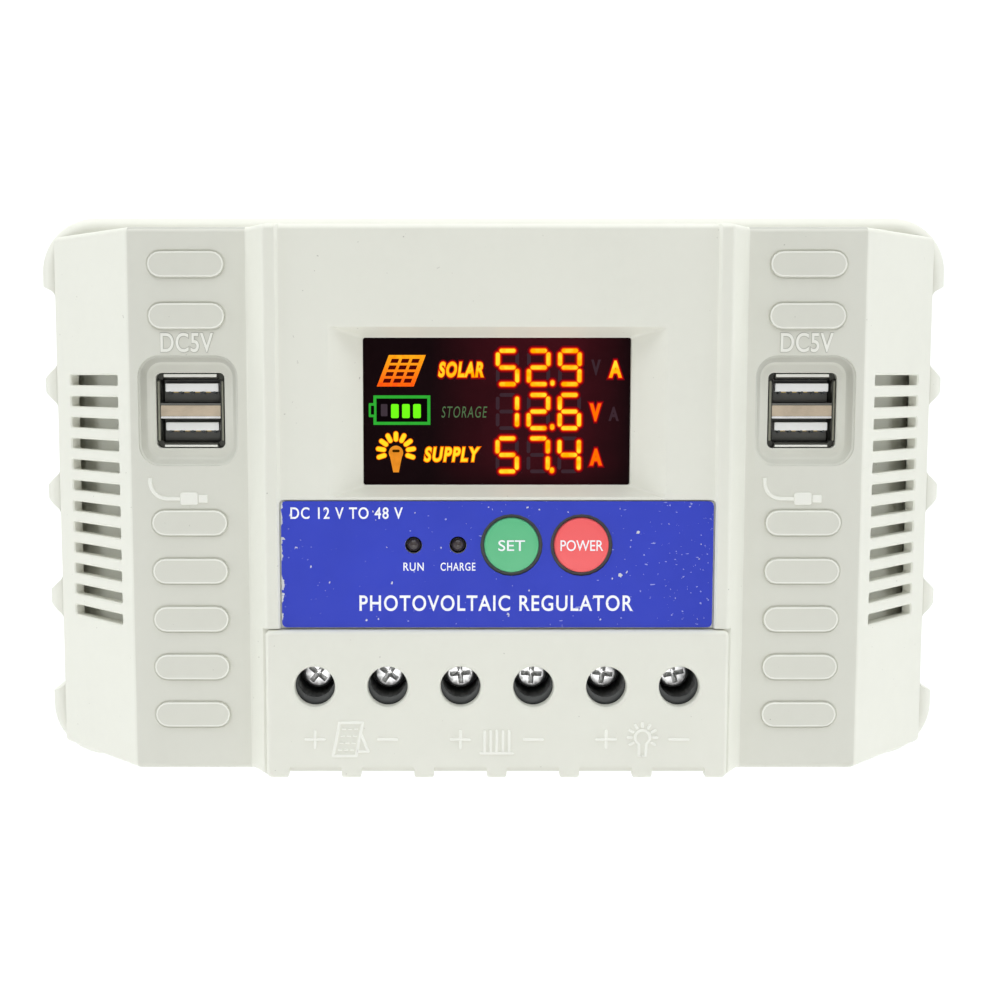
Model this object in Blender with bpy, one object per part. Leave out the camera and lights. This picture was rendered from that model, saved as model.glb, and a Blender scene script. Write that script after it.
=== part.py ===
"""A wall-mounted solar charge controller with a digit display, two push buttons, two double USB
sockets and six screw terminals, built as an assembly of separate pieces.

Frame: the origin is the centre of the flat back that lies on the wall. +Z is up, the front faces
-Y and +X is to the right of someone facing the front. Lengths are in millimetres and angles in
degrees; new_mesh() turns millimetres into metres.
"""

import math

import bmesh
import bpy

MM = 0.001
GAP = 0.3  # between pieces that rest on each other
ROUND = 24  # sides of a round piece
SMALL_ROUND = 16  # sides of a small round piece

# Rear base: a tub with ears at its corners and ribs along its sides
BASE_HALF_WIDTH = 103.6
BASE_HALF_HEIGHT = 62.7
BASE_DEPTH = 22.0
BASE_WALL = 2.4
RIM_HALF_HEIGHT = 56.0  # of the opening in front; the front cover stands on the rim round it
BASE_CORNER = 12.5
SIDE_RECESS = 3.6  # how far the sides stand in from the ears and ribs
EAR_END = 47.2  # height above the centre where an ear's flat side ends
RIB_PITCH = 24.55
RIB_HALF_TOP = 1.3
RIB_FLARE = 3.2
KEYHOLE_X = 62.0
KEYHOLE_Z = 28.0
KEYHOLE_PAD_HALF_WIDTH = 7.5
KEYHOLE_PAD_Y = -3.2  # front of the thicker wall round a keyhole, where a screw's head rests

# Front cover: one section through it, extruded from bottom to top
COVER_BOTTOM = -59.0
COVER_TOP = 58.2
COVER_HALF_WIDTH = 100.0
COVER_WALL = 2.2
PILLAR_Y = -44.0
PILLAR_OUTER = 78.6
PILLAR_INNER = 53.2
PANEL_Y = -50.0
BEAD_Y = -50.8
BEAD_OUTER = 48.9
BEAD_INNER = 46.4
VENT_COUNT = 12
VENT_PITCH = 4.76
VENT_TOP_Z = 25.75
VENT_HEIGHT = 2.3
VENT_INNER = 81.9
VENT_OUTER = 95.9
GUARD_SPACE = 2.6  # between the slanted wall and the guard behind its vents
GUARD_THICKNESS = 1.5
GUARD_Z = (-30.0, 29.0)
PAD_HALF_WIDTH = 8.2
PAD_HALF_HEIGHT = 2.8
PAD_PROUD = 0.5
PAD_Z = (50.3, 39.4, -4.8, -15.3, -25.8, -36.3, -46.8)
CASE_SCREW_X = 86.0
CASE_SCREW_Z = 50.0

# Display window and its funnel
WINDOW_Z = 19.1
WINDOW_HALF_WIDTH = 28.55
WINDOW_HALF_HEIGHT = 15.7
FUNNEL_HALF_WIDTH = 35.3
FUNNEL_HALF_HEIGHT = 17.9
WINDOW_SEAT_Y = -45.2

# Label with its buttons and lamps
LABEL_HALF_WIDTH = 45.65
LABEL_LOW = -26.5
LABEL_HIGH = 0.4
LABEL_FRONT_Y = -50.1
LABEL_BACK_Y = -49.7
CONTROL_Z = -8.9
BUTTON_X = {"menu": 3.0, "power": 17.8}
BUTTON_RADIUS = 5.8
BUTTON_HOLE_RADIUS = 6.6
BUTTON_FLANGE_RADIUS = 7.15
BUTTON_FRONT_Y = -50.9
LAMP_X = {"work": -17.7, "panel": -8.3}
LAMP_RADIUS = 1.5

# Double USB sockets
USB_X = 66.0
USB_Z = 19.25
USB_FRONT_Y = -41.0
USB_BACK_Y = -24.0
USB_PITCH = 8.4
USB_PORT_HALF_WIDTH = 6.25
USB_PORT_HALF_HEIGHT = 2.56

# Boards
FRONT_BOARD_Y = (-35.5, -33.9)
MAIN_BOARD_Y = (-18.3, -16.7)

# Terminals: six poles side by side
POLE_COUNT = 6
POLE_PITCH = 15.5
POLE_Z = -39.1
BODY_BOTTOM = -55.5  # of the terminal housings
SCREW_Z = -37.9  # the screws stand a little above the middle of the cover's holes
SCREW_TURNS = (40.0, 34.0, -5.0, 3.0, 8.0, -12.0)
TERMINAL_FRONT_Y = -51.5
TERMINAL_BACK_Y = -49.5
TERMINAL_TOP = -27.0
TERMINAL_HALF_WIDTH = 49.2
NOTCH_Z = -56.9
TOOTH_HALF_WIDTH = 2.1
ACCESS_RADIUS = 4.2
SHAFT_RADIUS = 4.0
SCREW_HEAD_Y = -42.5
SCREW_SEAT_Y = -40.0
SCREW_TIP_Y = -31.2
SCREW_RADIUS = 2.0
SCREW_HEAD_RADIUS = 3.3
CAGE_Y = (-33.7, -20.2)  # with the clamp fully open
CAGE_Z = (-45.6, -33.6)
CAGE_HALF_WIDTH = 5.9
BAR_Y = (-30.7, -29.2)


# --- Shapes: each is (vertices, faces) in millimetres -------------------------------------------


def loft(rings):
    """A closed solid through rings that have the same number of points."""
    count = len(rings[0])
    vertices = [point for ring in rings for point in ring]
    faces = [tuple(range(count)), tuple(range(len(vertices) - count, len(vertices)))]
    for start in range(0, len(vertices) - count, count):
        for i in range(count):
            j = (i + 1) % count
            faces.append((start + i, start + j, start + count + j, start + count + i))
    return vertices, faces


def placed(u, v, along, axis):
    """The point whose place across the axis is (u, v), in X, Y, Z order, and along it is along."""
    return {"X": (along, u, v), "Y": (u, along, v), "Z": (u, v, along)}[axis]


def prism(outline, axis, low, high):
    return loft([[placed(u, v, along, axis) for u, v in outline] for along in (low, high)])


def box(x, y, z):
    outline = [(x[0], z[0]), (x[1], z[0]), (x[1], z[1]), (x[0], z[1])]
    return prism(outline, "Y", y[0], y[1])


def circle(radius, centre=(0.0, 0.0), sides=ROUND):
    steps = [2 * math.pi * i / sides for i in range(sides)]
    return [(centre[0] + radius * math.cos(a), centre[1] + radius * math.sin(a)) for a in steps]


def turned(profile, centre=(0.0, 0.0), axis="Y", sides=ROUND):
    """A solid turned about the axis through centre, from (radius, place along the axis) pairs."""
    rings = []
    for radius, along in profile:
        rings.append([placed(u, v, along, axis) for u, v in circle(radius, centre, sides)])
    return loft(rings)


def rod(radius, low, high, centre=(0.0, 0.0), axis="Y", sides=ROUND):
    return turned([(radius, low), (radius, high)], centre, axis, sides)


def arc(centre, radius, start, end, steps):
    """Points on an arc, from the start angle to the end angle."""
    points = []
    for i in range(steps + 1):
        angle = math.radians(start + (end - start) * i / steps)
        points.append((centre[0] + radius * math.cos(angle), centre[1] + radius * math.sin(angle)))
    return points


def rounded(half_width, half_height, radius, centre=(0.0, 0.0), steps=3):
    """A rectangle with round corners, as an outline."""
    points = []
    for turn, (sx, sz) in enumerate(((1, 1), (-1, 1), (-1, -1), (1, -1))):
        corner = (centre[0] + sx * (half_width - radius), centre[1] + sz * (half_height - radius))
        points += arc(corner, radius, 90 * turn, 90 * turn + 90, steps)
    return points


def mirrored(half_outline):
    """A half outline at +X, closed by its mirror image."""
    return half_outline + [(-x, other) for x, other in reversed(half_outline)]


# --- Objects ------------------------------------------------------------------------------------


def new_mesh(name, shapes):
    """One mesh of several shapes, in metres, with every face pointing out."""
    work = bmesh.new()
    for vertices, faces in shapes:
        made = [work.verts.new([value * MM for value in point]) for point in vertices]
        for face in faces:
            work.faces.new([made[i] for i in face])
    bmesh.ops.recalc_face_normals(work, faces=work.faces)
    mesh = bpy.data.meshes.new(name)
    work.to_mesh(mesh)
    work.free()
    return mesh


def new_object(name, mesh, at=(0.0, 0.0, 0.0)):
    obj = bpy.data.objects.new(name, mesh)
    obj.location = [value * MM for value in at]
    bpy.context.scene.collection.objects.link(obj)
    return obj


def finished_mesh(name, base, add, cut):
    """The mesh of base with the shapes in add joined on, and then those in cut taken away."""
    blank = new_object(name + "_blank", new_mesh(name, [base]))
    tools = []
    for operation, shapes in (("UNION", add), ("DIFFERENCE", cut)):
        if not shapes:
            continue
        tool = new_object(f"{name}_{operation.lower()}", new_mesh(name + "_tool", shapes))
        modifier = blank.modifiers.new(operation.lower(), "BOOLEAN")
        modifier.operation = operation
        modifier.object = tool
        modifier.use_self = True
        tools.append(tool)
    graph = bpy.context.evaluated_depsgraph_get()
    mesh = bpy.data.meshes.new_from_object(blank.evaluated_get(graph))
    mesh.name = name
    for helper in (blank, *tools):
        bpy.data.objects.remove(helper)
    mesh.shade_smooth()
    mesh.set_sharp_from_angle(angle=math.radians(35))
    return mesh


def solid(name, finish, base, add=(), cut=(), at=(0.0, 0.0, 0.0)):
    """One piece of the object. Its shapes are measured from at, which becomes its origin."""
    mesh = finished_mesh(name, base, list(add), list(cut))
    mesh.materials.clear()
    mesh.materials.append(finish)
    return new_object(name, mesh, at)


def copies(names, first, places):
    """More objects with the first one's mesh, at other places."""
    return [new_object(name, first.data, at) for name, at in zip(names, places)]


def finish(name, colour, roughness, metallic=0.0, alpha=1.0):
    material = bpy.data.materials.new(name)
    material.use_nodes = True
    shader = material.node_tree.nodes["Principled BSDF"]
    shader.inputs["Base Color"].default_value = (*colour, 1.0)
    shader.inputs["Roughness"].default_value = roughness
    shader.inputs["Metallic"].default_value = metallic
    shader.inputs["Alpha"].default_value = alpha
    return material


# --- Housing ------------------------------------------------------------------------------------


def base_outline():
    """Half of the rear base's outline at +X, from its top down: round corners, ears and ribs."""
    corner_x = BASE_HALF_WIDTH - BASE_CORNER
    corner_z = BASE_HALF_HEIGHT - BASE_CORNER
    side = BASE_HALF_WIDTH - SIDE_RECESS
    points = arc((corner_x, corner_z), BASE_CORNER, 90, 0, 5)
    points += [(BASE_HALF_WIDTH, EAR_END), (side, EAR_END - RIB_FLARE / 2)]
    for step in (1, 0, -1):
        middle = step * RIB_PITCH
        for sign in (1, -1):
            root = (side, middle + sign * (RIB_HALF_TOP + RIB_FLARE))
            tip = (BASE_HALF_WIDTH, middle + sign * RIB_HALF_TOP)
            bend = (side + SIDE_RECESS * 0.35, middle + sign * (RIB_HALF_TOP + RIB_FLARE * 0.4))
            points += [root, bend, tip] if sign > 0 else [tip, bend, root]
    points += [(side, -EAR_END + RIB_FLARE / 2), (BASE_HALF_WIDTH, -EAR_END)]
    return points + arc((corner_x, -corner_z), BASE_CORNER, 0, -90, 5)


def keyhole(x, z):
    """A hole for a wall screw's head, with a narrow slot above it that the screw slides up into."""
    through = (KEYHOLE_PAD_Y - 1, 1)
    slot = box((x - 2.2, x + 2.2), through, (z, z + 7.5))
    return [rod(4.3, *through, centre=(x, z), sides=SMALL_ROUND), slot]


def make_rear_base(plastic):
    outline = mirrored(base_outline())
    inner = rounded(BASE_HALF_WIDTH - SIDE_RECESS - BASE_WALL, RIM_HALF_HEIGHT, 9)
    floor = -BASE_WALL
    cavity = prism(inner, "Y", -BASE_DEPTH - 1, floor)
    blank = finished_mesh("rear_base_shell", prism(outline, "Y", -BASE_DEPTH, 0), [], [cavity])
    shell_points = [tuple(value / MM for value in vertex.co) for vertex in blank.vertices]
    shell = (shell_points, [tuple(face.vertices) for face in blank.polygons])
    add, cut = [], []
    for sx in (-1, 1):
        for sz in (-1, 1):
            screw = (sx * CASE_SCREW_X, sz * CASE_SCREW_Z)
            add.append(rod(4.6, -BASE_DEPTH + 0.5, floor + 1, screw, sides=SMALL_ROUND))
            cut.append(rod(1.75, -BASE_DEPTH - 1, 1, screw, sides=SMALL_ROUND))
            cut.append(rod(3.7, -3.3, 1, screw, sides=SMALL_ROUND))
            post = (sx * 72.0, sz * 45.0)
            add.append(rod(3.5, MAIN_BOARD_Y[1] + GAP, floor + 1, post, sides=SMALL_ROUND))
        keyhole_x = sx * KEYHOLE_X
        pad_x = (keyhole_x - KEYHOLE_PAD_HALF_WIDTH, keyhole_x + KEYHOLE_PAD_HALF_WIDTH)
        add.append(box(pad_x, (KEYHOLE_PAD_Y, floor + 1), (KEYHOLE_Z - 8.0, KEYHOLE_Z + 12.0)))
        cut += keyhole(keyhole_x, KEYHOLE_Z)
    for column in range(-4, 5):
        x = column * 11.0
        for low in (12.0, -36.0):
            cut.append(box((x - 1.5, x + 1.5), (floor - 1, 1), (low, low + 24.0)))
    solid("rear_base", plastic, shell, add, cut)


def cover_section():
    """Half of the front cover's outer section at +X, from its rear edge to the middle of the bead."""
    slant = COVER_HALF_WIDTH - PILLAR_OUTER
    return [
        (COVER_HALF_WIDTH, -BASE_DEPTH - GAP),
        (COVER_HALF_WIDTH, PILLAR_Y + slant),
        (PILLAR_OUTER, PILLAR_Y),
        (PILLAR_INNER, PILLAR_Y),
        (BEAD_OUTER, BEAD_Y),
        (BEAD_INNER, BEAD_Y),
        (BEAD_INNER - 0.5, PANEL_Y),
    ]


def cover_hollow_section():
    """Half of the hollow inside the front cover, one wall thickness in from its outer section."""
    slant_line = PILLAR_Y - PILLAR_OUTER + COVER_WALL * math.sqrt(2)
    inner_y = PILLAR_Y + COVER_WALL
    rise = (PILLAR_INNER - BEAD_OUTER, PILLAR_Y - BEAD_Y)
    length = math.hypot(*rise)
    shift = COVER_WALL * length / rise[1]  # across X, from the wall's outer line to its inner one
    slope = rise[0] / rise[1]
    panel_inner = PANEL_Y + 2.0
    rear = -BASE_DEPTH + 1.0
    return [
        (rear - slant_line, rear),
        (inner_y - slant_line, inner_y),
        (PILLAR_INNER + slope * (inner_y - PILLAR_Y) - shift, inner_y),
        (PILLAR_INNER + slope * (panel_inner - PILLAR_Y) - shift, panel_inner),
    ]


def usb_well(side):
    """The dished recess round a USB socket and the hole through its floor."""
    centre = (side * USB_X, USB_Z)
    rings = []
    for half_width, half_height, radius, y in (
        (10.9, 11.5, 4.0, PILLAR_Y - 0.5),
        (10.6, 11.2, 4.0, PILLAR_Y + 0.2),
        (8.9, 9.6, 3.0, USB_FRONT_Y - 0.3),
        (8.6, 9.3, 3.0, USB_FRONT_Y),
    ):
        ring = rounded(half_width, half_height, radius, centre)
        rings.append([placed(u, v, y, "Y") for u, v in ring])
    hole = prism(rounded(7.75, 8.45, 1.6, centre), "Y", USB_FRONT_Y - 1, USB_FRONT_Y + 4)
    return [loft(rings), hole]


def display_funnel():
    rings = []
    for half_width, half_height, y in (
        (FUNNEL_HALF_WIDTH, FUNNEL_HALF_HEIGHT, PANEL_Y),
        (WINDOW_HALF_WIDTH, WINDOW_HALF_HEIGHT, WINDOW_SEAT_Y),
    ):
        ring = rounded(half_width, half_height, 0.5, (0, WINDOW_Z), steps=1)
        rings.append([placed(u, v, y, "Y") for u, v in ring])
    first = [(x, PANEL_Y - 2, z) for x, _, z in rings[0]]
    last = [(x, WINDOW_SEAT_Y + 3, z) for x, _, z in rings[1]]
    return loft([first, *rings, last])


def slanted(side, outer, inner):
    """A strip's outline along the vents of a slanted side, between two depths from its face."""
    points = []
    for x, depth in ((VENT_INNER, outer), (VENT_OUTER, outer), (VENT_OUTER, inner), (VENT_INNER, inner)):
        shift = depth * math.sqrt(0.5)
        points.append((side * (x - shift), PILLAR_Y + x - PILLAR_OUTER + shift))
    return points


def vent_guard(side):
    """The plate behind the vents of one side, which stops splashes, and the flanges that hold it."""
    outer = COVER_WALL + GUARD_SPACE
    inner = outer + GUARD_THICKNESS
    shapes = [prism(slanted(side, outer, inner), "Z", *GUARD_Z)]
    flange = slanted(side, COVER_WALL - 0.5, inner - 0.4)
    for z in GUARD_Z:
        inward = math.copysign(GUARD_THICKNESS, -z)
        shapes.append(prism(flange, "Z", *sorted((z - inward / 3, z + inward))))
    return shapes


def make_front_cover(plastic):
    blank = prism(mirrored(cover_section()), "Z", COVER_BOTTOM, COVER_TOP)
    hollow_section = mirrored(cover_hollow_section())
    hollow = prism(hollow_section, "Z", COVER_BOTTOM + COVER_WALL, COVER_TOP - COVER_WALL)
    mesh = finished_mesh("front_cover_shell", blank, [], [hollow])
    shell_points = [tuple(value / MM for value in vertex.co) for vertex in mesh.vertices]
    shell = (shell_points, [tuple(face.vertices) for face in mesh.polygons])
    panel_inner = PANEL_Y + 2.0
    add = [box((-38, 38), (panel_inner - 1, WINDOW_SEAT_Y + 1.5), (-0.3, 38.7))]
    cut = [
        display_funnel(),
        box((-BEAD_INNER + 0.4, BEAD_INNER - 0.4), (PANEL_Y - 1, PANEL_Y + 0.6), (-30.0, LABEL_HIGH + 0.3)),
        box((-46.8, 46.8), (BEAD_Y - 2, -BASE_DEPTH + 2), (COVER_BOTTOM - 2, TERMINAL_TOP - 0.5)),
        box((-51, 51), (BEAD_Y - 2, TERMINAL_BACK_Y + GAP), (COVER_BOTTOM - 2, TERMINAL_TOP + GAP)),
    ]
    for x in BUTTON_X.values():
        cut.append(rod(BUTTON_HOLE_RADIUS, PANEL_Y - 1, panel_inner + 1, (x, CONTROL_Z)))
    for x in LAMP_X.values():
        cut.append(rod(LAMP_RADIUS + 0.3, PANEL_Y - 1, panel_inner + 1, (x, CONTROL_Z), sides=SMALL_ROUND))
    for side in (-1, 1):
        seat = (side * USB_X - 12, side * USB_X + 12)
        add.append(box(seat, (PILLAR_Y + 1, USB_FRONT_Y + 2), (USB_Z - 12.4, USB_Z + 12.4)))
        cut += usb_well(side)
        for z in PAD_Z:
            pad = rounded(PAD_HALF_WIDTH, PAD_HALF_HEIGHT, PAD_HALF_HEIGHT - 0.02, (side * USB_X, z))
            add.append(prism(pad, "Y", PILLAR_Y - PAD_PROUD, PILLAR_Y + 1))
        add += vent_guard(side)
        vent = slanted(side, -1.0, COVER_WALL + GUARD_SPACE / 2)
        for row in range(VENT_COUNT):
            z = VENT_TOP_Z - row * VENT_PITCH
            cut.append(prism(vent, "Z", z - VENT_HEIGHT / 2, z + VENT_HEIGHT / 2))
        for sz in (-1, 1):
            boss = (side * CASE_SCREW_X, sz * CASE_SCREW_Z)
            add.append(rod(4.0, -32.2, -BASE_DEPTH - GAP, boss, sides=SMALL_ROUND))
            cut.append(rod(1.6, -30.5, -BASE_DEPTH, boss, sides=SMALL_ROUND))
        for z in (34.0, -16.0):
            post = (side * 42.0, z)
            add.append(rod(2.5, panel_inner - 1, FRONT_BOARD_Y[0] - GAP, post, sides=SMALL_ROUND))
    solid("front_cover", plastic, shell, add, cut)


def pole_x(pole):
    """The middle of a terminal pole, counted from 0 at the left."""
    return (pole - (POLE_COUNT - 1) / 2) * POLE_PITCH


def make_terminal_cover(plastic):
    """The snap-on cover over the terminals. Its teeth stand in front of the gaps between the wires."""
    thickness = (TERMINAL_FRONT_Y, TERMINAL_BACK_Y)
    through = (TERMINAL_FRONT_Y - 1, TERMINAL_BACK_Y + 1)
    plate = box((-TERMINAL_HALF_WIDTH, TERMINAL_HALF_WIDTH), thickness, (COVER_BOTTOM, TERMINAL_TOP))
    add, cut = [], []
    for side in (-1, 1):
        add.append(box(sorted((side * 20.0, side * 30.0)), (TERMINAL_BACK_Y - 0.5, -43.0), (-29.3, -27.8)))
    for pole in range(POLE_COUNT):
        x = pole_x(pole)
        reach = POLE_PITCH / 2 - TOOTH_HALF_WIDTH
        cut.append(box((x - reach, x + reach), through, (COVER_BOTTOM - 1, NOTCH_Z)))
        cut.append(rod(ACCESS_RADIUS, *through, centre=(x, POLE_Z)))
    solid("terminal_cover", plastic, plate, add, cut)


# --- Front panel --------------------------------------------------------------------------------


def make_label(vinyl):
    outline = rounded(LABEL_HALF_WIDTH, (LABEL_HIGH - LABEL_LOW) / 2, 1.0, (0, (LABEL_HIGH + LABEL_LOW) / 2))
    through = (LABEL_FRONT_Y - 1, LABEL_BACK_Y + 1)
    holes = [rod(BUTTON_HOLE_RADIUS, *through, centre=(x, CONTROL_Z)) for x in BUTTON_X.values()]
    for x in LAMP_X.values():
        holes.append(rod(LAMP_RADIUS + 0.35, *through, centre=(x, CONTROL_Z), sides=SMALL_ROUND))
    solid("label_overlay", vinyl, prism(outline, "Y", LABEL_FRONT_Y, LABEL_BACK_Y), cut=holes)


def make_button(name, x, plastic):
    """A cap with a flange that keeps it in, and a stem that reaches its switch."""
    front = BUTTON_FRONT_Y
    profile = [
        (BUTTON_RADIUS - 0.3, 0.0),
        (BUTTON_RADIUS, 0.3),
        (BUTTON_RADIUS, PANEL_Y + 2.4 - front),
        (BUTTON_FLANGE_RADIUS, PANEL_Y + 2.4 - front),
        (BUTTON_FLANGE_RADIUS, PANEL_Y + 3.6 - front),
        (1.8, PANEL_Y + 3.6 - front),
        (1.8, -41.0 - front),
    ]
    solid(name + "_button", plastic, turned(profile), at=(x, front, CONTROL_Z))


def make_switch(name, x, plastic):
    body = box((-3, 3), (-3.4, -GAP), (-3, 3))
    plunger = rod(1.75, -4.7, -3.0, sides=SMALL_ROUND)
    solid(name + "_switch", plastic, body, [plunger], at=(x, FRONT_BOARD_Y[0], CONTROL_Z))


def make_lamp(name, x, resin):
    """A 3 mm light-emitting diode on its two legs. Its tip is level with the label."""
    tip = -50.2
    steps = [math.radians(15 * i) for i in range(6)]
    dome = [(LAMP_RADIUS * math.cos(a), tip + LAMP_RADIUS * (1 - math.sin(a))) for a in reversed(steps)]
    profile = [(0.2, tip), *dome, (LAMP_RADIUS, tip + 4.0), (1.9, tip + 4.0), (1.9, tip + 5.0)]
    body = turned(profile, sides=SMALL_ROUND)
    leg_y = (tip + 4.8, FRONT_BOARD_Y[0] - GAP)
    legs = [box((side * 1.0 - 0.25, side * 1.0 + 0.25), leg_y, (-0.25, 0.25)) for side in (-1, 1)]
    solid(name + "_lamp", resin, body, legs, at=(x, 0.0, CONTROL_Z))


def make_display(glass, black):
    z = (WINDOW_Z - 17.6, WINDOW_Z + 17.6)
    seat = WINDOW_SEAT_Y + 1.5
    solid("display_window", glass, box((-30.5, 30.5), (seat + GAP, seat + GAP + 1.5), z))
    front = seat + GAP + 1.5 + GAP
    solid("display_module", black, box((-30.0, 30.0), (front, FRONT_BOARD_Y[0] - GAP), z))


# --- Boards and what is on them -----------------------------------------------------------------


def make_boards(laminate):
    solid("front_board", laminate, box((-46, 46), FRONT_BOARD_Y, (-20, 38)))
    solid("main_board", laminate, box((-78, 78), MAIN_BOARD_Y, (-55.6, 54)))
    for side, name in ((-1, "left"), (1, "right")):
        x = (side * USB_X - 11, side * USB_X + 11)
        solid(f"usb_board_{name}", laminate, box(x, (-38.5, MAIN_BOARD_Y[0] - GAP), (9.6, 11.2)))


def make_usb_socket(name, x, steel, nylon):
    """Two USB sockets one above the other: a steel shell, and an insulator with two tongues."""
    at = (x, USB_FRONT_Y, USB_Z)
    depth = USB_BACK_Y - USB_FRONT_Y
    ports = []
    tongues = []
    for side in (-1, 1):
        z = side * USB_PITCH / 2
        half_width, half_height = USB_PORT_HALF_WIDTH, USB_PORT_HALF_HEIGHT
        ports.append(box((-half_width, half_width), (-1, depth + 1), (z - half_height, z + half_height)))
        tongues.append(box((-5.55, 5.55), (1.0, depth + 1.0), (z + 0.02, z + 1.86)))
    shell = box((-6.6, 6.6), (0.2, depth), (-7.8, 7.8))
    rim = box((-7.25, 7.25), (0.0, 0.4), (-8.0, 8.0))
    solid(f"usb_shell_{name}", steel, shell, [rim], ports, at)
    block = box((-6.5, 6.5), (depth + GAP, depth + 2.5), (-7.5, 7.5))
    solid(f"usb_insulator_{name}", nylon, block, tongues, at=at)


def make_heat_sink(aluminium):
    """A plate with upright fins towards the vents in the back."""
    half_width, pitch, half_fin = 52.0, 8.0, 0.9
    base_front, base_back, fin_end = -11.7, -8.7, -3.1
    outline = [(-half_width, base_front), (half_width, base_front), (half_width, base_back)]
    for fin in range(6, -7, -1):
        middle = fin * pitch
        outline += [(middle + half_fin, base_back), (middle + half_fin, fin_end)]
        outline += [(middle - half_fin, fin_end), (middle - half_fin, base_back)]
    outline.append((-half_width, base_back))
    solid("heat_sink", aluminium, prism(outline, "Z", -12.0, 48.0))


def make_transistors(epoxy):
    """Power transistors flat on the heat sink, their legs turned up to the main board."""
    front, back = MAIN_BOARD_Y[1] + GAP, -11.9
    body = box((-5, 5), (front + 0.1, back), (-4.6, 4.6))
    tab = box((-5, 5), (back - 1.3, back), (4.0, 11.0))
    legs = []
    for x in (-2.54, 0.0, 2.54):
        legs.append(box((x - 0.4, x + 0.4), (-14.2, -13.6), (-8.0, -4.0)))
        legs.append(box((x - 0.4, x + 0.4), (front, -13.7), (-8.0, -7.4)))
    hole = rod(1.8, back - 3, back + 1, (0.0, 8.0), sides=SMALL_ROUND)
    first = solid("power_transistor_1", epoxy, body, [tab, *legs], [hole], at=(-30.0, 0.0, 12.0))
    copies(["power_transistor_2", "power_transistor_3"], first, [(0.0, 0.0, 12.0), (30.0, 0.0, 12.0)])


def make_capacitors(sleeve):
    """Electrolytic capacitors with the groove round the foot and the chamfered top."""
    foot, top = MAIN_BOARD_Y[0] - GAP, -40.0
    groove = [(7.9, foot - 3.4), (7.3, foot - 2.8), (7.9, foot - 2.2)]
    profile = [(7.2, top), (7.9, top + 0.7), *groove, (7.9, foot)]
    first = solid("capacitor_1", sleeve, turned(profile), at=(-26.0, 0.0, 46.4))
    copies(["capacitor_2", "capacitor_3"], first, [(-5.0, 0.0, 46.4), (16.0, 0.0, 46.4)])


def make_choke(copper):
    """A toroidal choke lying flat on the main board."""
    major, minor_x, minor_y, sides = 7.4, 3.4, 4.2, 8
    middle = MAIN_BOARD_Y[0] - GAP - minor_y
    vertices, faces = [], []
    for i in range(ROUND):
        turn = 2 * math.pi * i / ROUND
        for j in range(sides):
            angle = 2 * math.pi * j / sides
            radius = major + minor_x * math.cos(angle)
            y = middle + minor_y * math.sin(angle)
            vertices.append((radius * math.cos(turn), y, radius * math.sin(turn)))
            along, across = (i + 1) % ROUND, (j + 1) % sides
            faces.append((i * sides + j, along * sides + j, along * sides + across, i * sides + across))
    solid("choke", copper, (vertices, faces), at=(58.0, 0.0, -14.0))


def make_fuses(plastic):
    """Blade fuses standing in the main board."""
    foot = MAIN_BOARD_Y[0] - GAP
    body = prism([(-9.5, -29), (9.5, -29), (9.5, -25), (8.6, -21), (-8.6, -21), (-9.5, -25)], "Z", -2.6, 2.6)
    blades = [box((x - 2.6, x + 2.6), (-22, foot), (-0.4, 0.4)) for x in (-5.4, 5.4)]
    first = solid("fuse_1", plastic, body, blades, at=(-62.0, 0.0, -14.0))
    copies(["fuse_2"], first, [(-62.0, 0.0, -28.0)])


def make_ribbon_cable(insulation):
    """A flat cable that bends from the back of the front board to the main board."""
    start, end = FRONT_BOARD_Y[1] + GAP, MAIN_BOARD_Y[0] - GAP
    drop, half_thickness, steps = 7.0, 0.5, 12
    near, far = [], []
    for i in range(steps + 1):
        share = i / steps
        y = start + (end - start) * share
        z = -14.0 - drop * (1 - math.cos(math.pi * share)) / 2
        near.append((y, z + half_thickness))
        far.append((y, z - half_thickness))
    solid("ribbon_cable", insulation, prism(near + far[::-1], "X", -36.0, -20.0))


# --- Screws and terminals -----------------------------------------------------------------------


def cross_recess(low, high, half_length, half_width=0.45):
    """The two slots of a cross-head screw's recess."""
    slots = [((-half_length, half_length), (-half_width, half_width))]
    slots.append((slots[0][1], slots[0][0]))
    return [box(x, (low, high), z) for x, z in slots]


def make_case_screws(steel):
    """Screws that go in from the back and hold the rear base to the front cover."""
    profile = [(1.2, -30.0), (1.45, -29.2), (1.45, -3.0), (3.2, -3.0), (3.2, -1.4), (2.4, -0.8)]
    first = None
    for i, (sx, sz) in enumerate(((-1, 1), (1, 1), (-1, -1), (1, -1))):
        at = (sx * CASE_SCREW_X, 0.0, sz * CASE_SCREW_Z)
        if first is None:
            recess = cross_recess(-2.2, 0.0, 1.6)
            first = solid("case_screw_1", steel, turned(profile, sides=SMALL_ROUND), cut=recess, at=at)
        else:
            copies([f"case_screw_{i + 1}"], first, [at])


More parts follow.
